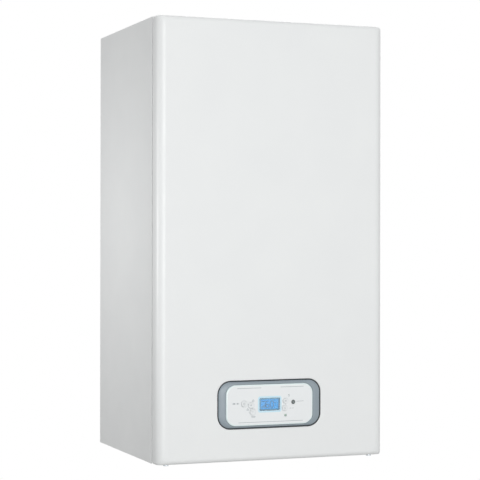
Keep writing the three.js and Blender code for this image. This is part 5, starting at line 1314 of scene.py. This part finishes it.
# ---------------------------------------------------------------- heat cell and flue
@dataclass
class HeatCell:
    """Drum, coil, burner door and electrode, with nuts, weld beads, ribs and the ignition lead."""

    z: float = 560.0
    radius: float = 98.0
    rear: float = -92.0
    front: float = -222.0
    door_front: float = -235.3
    door_radius: float = 90.0
    stud_circle: float = 78.0
    boss: float = 38.0  # half the square at the door's middle, where the ribs start
    electrode: Pair = (28.0, 515.0)

    def build(self) -> None:
        """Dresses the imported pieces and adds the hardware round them."""
        dress("heat_cell", STAINLESS, 0.5)
        dress("heat_coil", FINNED_COIL, 0.3)
        dress("burner_door", DIE_CAST, 1.2)
        dress("burner", PRESSED_STAINLESS, 0.2)
        dress("ignition_electrode", ALUMINA, 0.3)
        dress("spark_generator", BLACK_NYLON, 0.8)
        self.build_seams()
        self.build_door_hardware()
        self.build_lead()

    def build_seams(self) -> None:
        """Rolled weld beads at both ends of the drum and two pressed bands between them."""
        form = Form()
        bead = [(-0.4, -2.4), (0.9, -1.2), (1.3, 0), (0.9, 1.2), (-0.4, 2.4)]
        for y in (self.rear - 3, self.front + 4, -135.0, -190.0):
            form.turned(Axis.Y, moved(bead, y, self.radius), (0, self.z), 64, ring=True)
        form.piece("drum_seams", "casing", STAINLESS)

    def build_door_hardware(self) -> None:
        """Flange nuts on their studs, cast ribs, and the rope seal that shows round the door."""
        nuts, ribs, front = Form(), Form(), self.door_front
        flange = moved([(0, -1.6), (7.6, -1.6), (7.9, 0.1), (0, 0.1)], front)
        stud = moved([(0, -10.4), (2.2, -10.4), (3.0, -9.6), (3.0, -6.8), (0, -6.8)], front)
        for middle in places_round((0, self.z), self.stud_circle, 6, 30):
            nuts.turned(Axis.Y, flange, middle, 24)
            nuts.nut(Axis.Y, 10, (front - 7, front - 1.4), middle)
            nuts.turned(Axis.Y, stud, middle, 18)
        nuts.piece("door_nuts", "casing", BRIGHT_ZINC)
        for angle in (60, 90, 120, 150, 180, 210, 240, 270, 330):
            turn = math.radians(angle)
            reach = Vector((math.cos(turn), 0, math.sin(turn)))
            start = self.boss / max(abs(reach.x), abs(reach.z)) if angle != 330 else 46
            a, b = reach * start, reach * (self.door_radius - 4)
            side = Vector((-reach.z, 0, reach.x)) * 1.6
            outline = [(p.x, self.z + p.z) for p in (a + side, b + side * 0.7, b - side * 0.7, a - side)]
            ribs.slab(outline, front - 4.5, front + 0.2, 0.5)
        rim = moved([(-6, -2.6), (-1.2, -2.6), (-0.4, -1.8), (-0.4, 0.2), (-6, 0.2)], front, self.door_radius)
        ribs.turned(Axis.Y, rim, (0, self.z), 64, ring=True)
        ribs.piece("door_ribs", "casing", DIE_CAST)
        rope = moved([(-5, -0.1), (0.8, -0.1), (1.5, 0.7), (-5, 0.7)], self.front, self.door_radius)
        Form().turned(Axis.Y, rope, (0, self.z), 64, ring=True).piece("door_seal", "casing", MINERAL_FELT)

    def build_lead(self) -> None:
        """The short ignition lead, held at both ends, with its boot on the electrode."""
        boot = [(0, -272), (4.6, -272), (5.6, -270), (6.6, -262), (7.2, -250), (7.2, -244), (0, -244)]
        Form().turned(Axis.Y, boot, self.electrode, 24).piece("electrode_boot", "casing", RED_MOULDING)
        x, z = self.electrode
        route = smooth_path([
            (x, -270, z), (30, -280, 510), (42, -291, 492), (70, -296, 470), (105, -297, 458),
            (150, -295, 452),
            (177, -288, 442), (188, -268, 420), (190.5, -235, 388), (190.5, -205, 352), (187, -190, 330),
            (184.2, -184, 325), (184.2, -176, 325)], 6)
        Form().tube(route, 3.2, 14).piece("ignition_lead", "casing", SILICONE_LEAD)


@dataclass
class Flue:
    """The concentric collar on the top panel and the pipe below it."""

    top: float = 734.0
    seat: float = 720.3
    back: float = -150.0
    screw_circle: float = 60.0

    def build(self) -> None:
        """Dresses the collar and adds its rubber lips and flange screws."""
        dress("flue_collar", BLACK_NYLON, 0.3)
        dress("flue_sleeve", WHITE_MOULDING, 0.3)
        lips = Form()
        lip = [(0.05, -2), (-1.4, -1.2), (-1.8, 0.6), (-0.6, 1.6), (0.05, 2)]
        for bore, depth in ((28.0, 5.0), (48.0, 6.0)):
            lips.turned(Axis.Z, moved(lip, self.top - depth, bore), (0, self.back), 48, ring=True)
        foot = [(68.0, 720.05), (70.5, 720.05), (71.0, 721.2), (69.8, 722.6), (68.0, 723.0)]
        lips.turned(Axis.Z, foot, (0, self.back), 56, ring=True)
        lips.piece("flue_lip_seals", "casing", EPDM_HOSE)
        screws = Form()
        for middle in places_round((0, self.back), self.screw_circle, 4, 45):
            screws.screw(Axis.Z, self.seat + 3, 1, middle, 3.6, 2.2)
        screws.piece("flue_collar_screws", "casing", BRIGHT_ZINC)


# ---------------------------------------------------------------- fan and gas
@dataclass
class FanUnit:
    """Fan, venturi, mixture duct and air pipe."""

    x: float = 125.0
    z: float = 385.0
    front: float = -284.3
    duct_x: float = 163.0
    duct_y: float = -264.3
    air_pipe: Pair = (125.0, -164.7)
    motor_front: float = -307.7

    def build(self) -> None:
        """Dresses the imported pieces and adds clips, ribs, screws and the plug."""
        dress_all(["fan_housing", "venturi"], DIE_CAST, 0.8)
        dress("fan_impeller", DIE_CAST, 0.0)
        dress("fan_motor", BLACK_NYLON, 0.8)
        dress_all(["mixture_duct", "air_silencer"], DARK_HOUSING, 0.5)
        screws, ribs = Form(), Form()
        middle = (self.x, self.z)
        for place in places_round(middle, 48, 6, 15):
            screws.screw(Axis.Y, self.front, -1, place, 3.6, 2.4)
        for place in places_round(middle, 28, 3, 90):
            screws.screw(Axis.Y, self.motor_front, -1, place, 2.6, 1.8)
        screws.piece("fan_screws", "casing", BRIGHT_ZINC)
        ribs.fins(middle, (26.0, 36.2), 20, (-308.9, -287.3), (-0.8, 1.0))
        clamp = [(59.2, -266), (60.2, -265), (60.2, -263.5), (59.2, -262.5), (57.6, -262.5), (57.6, -266)]
        ribs.turned(Axis.Y, clamp, middle, 56, ring=True)
        ribs.piece("fan_motor_ribs", "casing", BLACK_NYLON)
        bands = Form()
        band = [(19.8, 0), (21.0, 0.4), (21.0, 6.6), (19.8, 7)]
        x, y = self.duct_x, self.duct_y
        for z in (450.0, 476.0):
            bands.turned(Axis.Z, moved(band, z), (x, y), 40, ring=True)
            bands.block((x - 5, y - 25.5, z + 0.6), (x + 5, y - 20.4, z + 6.4), 0.6)
        bands.piece("duct_bands", "casing", BRIGHT_ZINC)
        rings = Form()
        ring = [(20.8, 0), (22.6, 1.4), (22.6, 3.2), (20.8, 4.6)]
        for z in (440.0, 470.0, 500.0, 530.0, 560.0, 590.0):
            rings.turned(Axis.Z, moved(ring, z), self.air_pipe, 32, ring=True)
        rings.piece("air_pipe_rings", "casing", DARK_HOUSING)
        plug = Form().block((self.x - 11, -306, 332), (self.x + 11, -294, 343.5), 1.0)
        route = [(self.x, -300, 333), (self.x, -298, 322), (self.x - 20, -284, 316), (96, -262, 312),
                 (88, -240, 300), (90, -232, 290)]
        plug.tube(smooth_path(route, 6), 3.4, 12)
        plug.piece("fan_plug", "casing", WHITE_MOULDING)


@dataclass
class GasTrain:
    """Gas valve and its supply pipe."""

    x: float = 125.0
    valve_low: float = 225.0
    valve_front: float = -240.0

    def build(self) -> None:
        """Dresses the valve and adds coil caps, test nipples, screws and nuts."""
        dress("gas_valve", DIE_CAST, 1.4)
        dress("gas_supply_pipe", STAINLESS, 0.0)
        caps = Form()
        coil = [(0, -257.5), (9, -257.5), (11.5, -256.4), (13.8, -254), (13.8, -243), (0, -243)]
        for z in (22.0, 60.0):
            caps.turned(Axis.Y, coil, (self.x, self.valve_low + z), 36)
        caps.block((self.x - 24, -250, self.valve_low + 34),
                   (self.x - 8, self.valve_front + 0.2, self.valve_low + 52), 1.0)
        caps.piece("gas_valve_coils", "casing", BLACK_NYLON)
        brass = Form()
        nipple = [(0, -250), (2.2, -250), (2.6, -247), (2.6, -244), (4.6, -244), (4.6, -239.6), (0, -239.6)]
        for dx, dz in ((20.0, 42.0), (20.0, 10.0)):
            brass.turned(Axis.Y, nipple, (self.x + dx, self.valve_low + dz), 24)
        brass.nut(Axis.Z, 27, (206.5, 224.6), (self.x, -205.0))
        brass.nut(Axis.Z, 24, (312.0, 322.0), (self.x, -220.0))
        brass.piece("gas_fittings", "casing", PRESSED_BRASS)
        screws = Form()
        for dx in (-23.0, 23.0):
            for dz in (6.0, 79.0):
                screws.screw(Axis.Y, self.valve_front, -1, (self.x + dx, self.valve_low + dz), 3.4, 2.4)
        screws.piece("gas_valve_screws", "casing", BRIGHT_ZINC)


# ---------------------------------------------------------------- water side
@dataclass
class WaterSide:
    """Manifolds, exchanger, pump, valves, copper pipes, trap, drain hose and expansion vessel."""

    manifold_top: float = 100.0
    manifold_front: float = -135.0
    pump: Pair = (125.0, 142.3)
    trap: Pair = (-60.0, -209.0)
    trap_nut: tuple[float, float, float] = (25.2, 25.9, 27.2)  # plain radius, then its grips' feet and tips
    charging_valve: Pair = (40.0, 405.0)

    def build(self) -> None:
        """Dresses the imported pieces, then adds each group's hardware."""
        dress_all(["flow_manifold", "return_manifold"], PRESSED_BRASS, 1.6)
        dress_all(["relief_valve", "air_vent"], PRESSED_BRASS, 0.5)
        dress("diverter_spindle", PRESSED_BRASS, 0.3)
        dress_all(["flow_pipe", "return_pipe"], DRAWN_COPPER, 0.0)
        dress("plate_exchanger", PRESSED_STAINLESS, 0.6)
        dress("pump_volute", SAND_CAST, 1.0)
        dress("pump_motor", BLUE_ENAMEL, 1.0)
        dress("pump_impeller", WHITE_MOULDING, 0.0)
        dress("flow_turbine", WHITE_MOULDING, 0.0)
        dress("diverter_motor", WHITE_MOULDING, 1.0)
        dress("relief_knob", RED_MOULDING, 0.7)
        dress("filling_knob", BLUE_MOULDING, 0.8)
        dress("condensate_trap", WHITE_MOULDING, 0.6)
        dress("drain_hose", EPDM_HOSE, 0.0)
        dress("expansion_vessel", RED_ENAMEL, 1.5)
        self.build_threads()
        self.build_pump()
        self.build_small_parts()
        self.build_vessel()

    def build_threads(self) -> None:
        """Pipe threads on the four tails, and union nuts on top of the manifolds."""
        threads = Form()
        profile = [(12.8, 5.0)]
        for i in range(9):  # 1.8 mm pitch, as 14 threads to the inch
            z = 5.4 + 1.8 * i
            profile += [(13.1, z), (13.85, z + 0.8), (13.1, z + 1.6)]
        profile += [(12.8, 22.2)]
        for x in TAILS:
            threads.turned(Axis.Z, profile, (x, TAIL_Y), 36, ring=True)
        threads.nut(Axis.Z, 25, (self.manifold_top + 0.4, self.manifold_top + 13), (-80, -118))
        threads.nut(Axis.Z, 27, (178.0, 190.2), (125, -118))
        for x in (-50.0, 50.0):
            threads.nut(Axis.Z, 30, (441, 454.6), (x, -140))
        for x, z in ((-130.0, 60.0), (-65.0, 84.0), (100.0, 62.0)):
            threads.nut(Axis.Y, 15, (self.manifold_front - 5, self.manifold_front + 0.2), (x, z))
        threads.piece("brass_threads_and_nuts", "casing", PRESSED_BRASS)

    def build_pump(self) -> None:
        """Cooling fins, flange screws, terminal box and vent plug of the pump."""
        x, z = self.pump
        Form().fins(self.pump, (41.5, 45.4), 28, (-199.0, -147.0), (-1.0, 0.62)).piece(
            "pump_fins", "casing", BLUE_ENAMEL)
        screws = Form()
        head = [(0, -137), (2.2, -137), (2.2, -140.5), (4.4, -140.5), (4.4, -135.2), (0, -135.2)]
        for place in places_round(self.pump, 38.5, 4, 45):
            screws.turned(Axis.Y, head, place, 20)
        vent_plug = [(0, -218.2), (6.0, -218.2), (8.0, -217.4), (8.0, -215.0), (0, -215.0)]
        screws.turned(Axis.Y, vent_plug, self.pump, 28)
        screws.piece("pump_screws", "casing", BRIGHT_ZINC)
        box = Form().block((x - 25, -198, z + 40), (x + 25, -146.5, z + 50.5), 2.0)
        speed_dial = [(0, -203.5), (3.6, -203.5), (5.6, -202.6), (5.6, -197), (0, -197)]
        box.turned(Axis.Y, speed_dial, (x + 10, z + 45), 24)
        box.piece("pump_terminal_box", "casing", BLACK_NYLON)

    def build_small_parts(self) -> None:
        """Exchanger studs, diverter clip, vent cap, trap ring and pipe clips."""
        steel = Form()
        stud = [(0, 152.6), (2.4, 152.6), (3.0, 152.0), (3.0, 146.3), (0, 146.3)]
        for x in (-134.0, 28.0):
            for y in (-84.0, -42.0):
                steel.turned(Axis.Z, stud, (x, y), 18)
        clip = [(10.9, 0), (12.2, 0.4), (12.2, 7.6), (10.9, 8)]
        for x, y, z in ((-50.0, -140.0, 390.0), (-80.0, -118.0, 170.0), (125.0, -118.0, 250.0),
                        (50.0, -140.0, 425.0)):
            steel.turned(Axis.Z, moved(clip, z), (x, y), 28, ring=True)
            steel.block((x - 4, y - 16.6, z + 1), (x + 4, y - 11.6, z + 7), 0.8)
        motor_clip = [(16.2, -149.6), (17.6, -149.2), (17.6, -146.4), (16.2, -146)]
        steel.turned(Axis.Y, motor_clip, (-130, 84), 32, ring=True)
        steel.piece("pipe_clips_and_studs", "casing", BRIGHT_ZINC)
        black = Form()
        vent_cap = [(3.9, 151.0), (6.4, 151.0), (7.0, 152.0), (7.0, 155.4), (5.6, 156.4), (3.9, 156.4)]
        black.turned(Axis.Z, vent_cap, (-120, -118), 24, ring=True)
        black.block((-147, -181.0, 95), (-113, -175.0, 104), 0.9)
        black.piece("vent_and_motor_plugs", "casing", BLACK_NYLON)
        rows = [self.grips(share, z) for z, share in ((354.0, 0.0), (355.0, 1.0), (366.0, 1.0), (367.0, 0.0))]
        rows += [[(x, y, z) for x, y in disc(24.4, self.trap, 48)] for z in (367, 354)]
        Form().skin(rows, ring_closed=True).piece("trap_ring_nut", "casing", BLACK_NYLON)

    def grips(self, share: float, z: float) -> list[Point]:
        """One row round the trap's ring nut.

        Args:
            share: how far its grips stand out, from 0 to 1.
            z: its height, mm.

        Returns:
            The row's points.
        """
        plain, foot, tip = self.trap_nut
        row = []
        for i in range(48):
            radius = plain + ((tip if i % 2 else foot) - plain) * share
            angle = 2 * math.pi * i / 48
            row.append((self.trap[0] + radius * math.cos(angle), self.trap[1] + radius * math.sin(angle), z))
        return row

    def build_vessel(self) -> None:
        """The vessel's charging valve with its cap, and the union nut under the vessel."""
        valve = Form()
        stem = [(0, -84), (3.2, -84), (3.2, -80), (6.5, -80), (6.5, -75.5), (0, -75.5)]
        valve.turned(Axis.Y, stem, self.charging_valve, 24)
        union = [(12.6, 351.6), (12.6, 344), (8.1, 344), (8.1, 351.6)]
        valve.turned(Axis.Z, union, (-70, -44.8), 6, ring=True)
        valve.piece("vessel_valve", "casing", PRESSED_BRASS)
        cap = [(0, -89), (3.6, -89), (4.4, -88.2), (4.4, -83), (0, -83)]
        Form().turned(Axis.Y, cap, self.charging_valve, 16).piece("vessel_valve_cap", "casing", BLACK_NYLON)


# ---------------------------------------------------------------- studio
@dataclass
class Studio:
    """Camera, floor, soft lamps and white surroundings. Places are metres, angles degrees."""

    eye: tuple[float, float, float] = (-0.98680, -2.72313, -0.31811)
    azimuth: float = 21.159
    elevation: float = 0.143
    roll: float = 0.082
    lens: float = 118.7  # for a sensor 36 mm wide
    floor: float = -1.62
    floor_radius: float = 4.0
    fade: Pair = (1.2, 3.6)  # where the floor starts to fade, and where it has gone
    ambient: float = 0.40  # how much of the surroundings' white falls on the object
    target: tuple[float, float, float] = (0.0, -0.3, -0.27)

    def camera(self) -> None:
        """Sets the camera where the photograph was taken from."""
        az, el = math.radians(self.azimuth), math.radians(self.elevation)
        ahead = Vector((math.sin(az) * math.cos(el), math.cos(az) * math.cos(el), math.sin(el)))
        right = ahead.cross(Vector((0, 0, 1))).normalized()
        up = right.cross(ahead)
        turn = Matrix((right, up, -ahead)).transposed() @ Matrix.Rotation(math.radians(self.roll), 3, "Z")
        data = bpy.data.cameras.new("camera")
        data.lens = self.lens
        data.sensor_width = 36.0
        data.clip_end = 50.0
        made = bpy.data.objects.new("camera", data)
        made.matrix_world = Matrix.LocRotScale(Vector(self.eye), turn, None)
        bpy.context.scene.collection.objects.link(made)
        bpy.context.scene.camera = made

    def ground(self) -> None:
        """A pale floor that fades out into the white surroundings and keeps the shadow."""
        mesh = bmesh.new()
        bmesh.ops.create_circle(mesh, cap_ends=True, segments=96, radius=self.floor_radius)
        data = bpy.data.meshes.new("floor")
        mesh.to_mesh(data)
        mesh.free()
        made = bpy.data.objects.new("floor", data)
        made.location = (0, -0.16, self.floor)
        bpy.context.scene.collection.objects.link(made)
        cover = bpy.data.materials.new("pale_floor")
        cover.use_nodes = True
        tree = cover.node_tree
        tree.nodes.clear()
        place = add(tree, "ShaderNodeTexCoord").outputs["Object"]
        far = add(tree, "ShaderNodeVectorMath", {0: place}, operation="LENGTH").outputs["Value"]
        start, end = self.fade
        fade = add(tree, "ShaderNodeMapRange", {"Value": far, "From Min": start, "From Max": end}).outputs[0]
        grain = add(tree, "ShaderNodeTexNoise", {"Vector": place, "Scale": 9.0}).outputs[0]
        tone = add(tree, "ShaderNodeMix", {0: grain, 6: linear("#D0D0CE"), 7: linear("#CACAC8")},
                   data_type="RGBA").outputs[2]
        matt = add(tree, "ShaderNodeBsdfDiffuse", {"Color": tone}).outputs[0]
        clear = add(tree, "ShaderNodeBsdfTransparent").outputs[0]
        under = add(tree, "ShaderNodeNewGeometry").outputs["Backfacing"]
        gone = add(tree, "ShaderNodeMath", {0: fade, 1: under}, operation="MAXIMUM").outputs[0]
        both = add(tree, "ShaderNodeMixShader", {0: gone, 1: matt, 2: clear}).outputs[0]
        add(tree, "ShaderNodeOutputMaterial", {"Surface": both})
        data.materials.append(cover)

    def hang(self, data: bpy.types.Light, place: Point, target: Point, power: float) -> None:
        """Hangs a lamp.

        Args:
            data: the lamp.
            place: where it hangs, m.
            target: the point that it looks at, m.
            power: what it gives off, W.
        """
        data.energy = power
        made = bpy.data.objects.new(data.name, data)
        made.location = place
        made.rotation_euler = (Vector(target) - Vector(place)).to_track_quat("-Z", "Y").to_euler()
        bpy.context.scene.collection.objects.link(made)

    def softbox(self, name: str, place: Point, size: float, power: float,
                target: Point | None = None) -> None:
        """Hangs a square softbox.

        Args:
            name: its name.
            place: where it hangs, m.
            size: its width, m.
            power: what it gives off, W.
            target: the point that it looks at, m; left out, that is the casing's middle.
        """
        data = bpy.data.lights.new(name, "AREA")
        data.size = size
        self.hang(data, place, target or self.target, power)

    def spot(self, name: str, place: Point, degrees: float, power: float, target: Point) -> None:
        """Hangs a soft-edged spot lamp.

        Args:
            name: its name.
            place: where it hangs, m.
            degrees: how wide its cone opens.
            power: what it gives off, W.
            target: the point that it looks at, m.
        """
        data = bpy.data.lights.new(name, "SPOT")
        data.spot_size = math.radians(degrees)
        data.spot_blend = 1.0
        data.shadow_soft_size = 0.3
        self.hang(data, place, target, power)

    def surroundings(self) -> None:
        """White to the camera and in reflections; a softer level as light on the object."""
        world = bpy.data.worlds.new("surroundings")
        world.use_nodes = True
        tree = world.node_tree
        tree.nodes.clear()
        rays = add(tree, "ShaderNodeLightPath").outputs
        seen = rays["Is Camera Ray"]
        for other in ("Is Glossy Ray", "Is Transmission Ray"):
            seen = add(tree, "ShaderNodeMath", {0: seen, 1: rays[other]}, operation="MAXIMUM").outputs[0]
        level = add(tree, "ShaderNodeMapRange", {
            "Value": seen, "To Min": self.ambient, "To Max": 1.0}).outputs[0]
        light = add(tree, "ShaderNodeBackground", {
            "Color": (1.0, 1.0, 1.0, 1.0), "Strength": level}).outputs[0]
        add(tree, "ShaderNodeOutputWorld", {"Surface": light})
        bpy.context.scene.world = world

    def build(self) -> None:
        """Sets the whole studio."""
        self.camera()
        self.ground()
        self.surroundings()
        self.softbox("softbox_front", (-0.55, -3.0, -0.15), 1.4, 33)
        self.softbox("softbox_right", (1.5, -3.4, -0.2), 2.0, 12)
        self.spot("spot_side", (-3.0, -0.15, -0.27), 15, 140, (-0.2, -0.13, -0.27))
        self.softbox("softbox_top", (-0.4, -1.3, 2.1), 1.4, 8, (0.0, -0.3, 0.0))
        self.softbox("softbox_back", (1.2, 2.8, 1.4), 2.0, 30)
        bpy.context.scene.view_settings.view_transform = "Standard"
        LOG.info("studio: camera at %s", self.eye)


def main() -> None:
    """Builds the sub-assemblies in order."""
    logging.basicConfig(level=logging.INFO, format="%(name)s %(message)s")
    for assembly in (FrontCover(), ControlPanel(), ControlBox(), HeatCell(), Flue(), FanUnit(), GasTrain(),
                     WaterSide(), Casing(), Studio()):
        assembly.build()
        LOG.info("%s done", type(assembly).__name__)


if __name__ == "__main__":
    main()
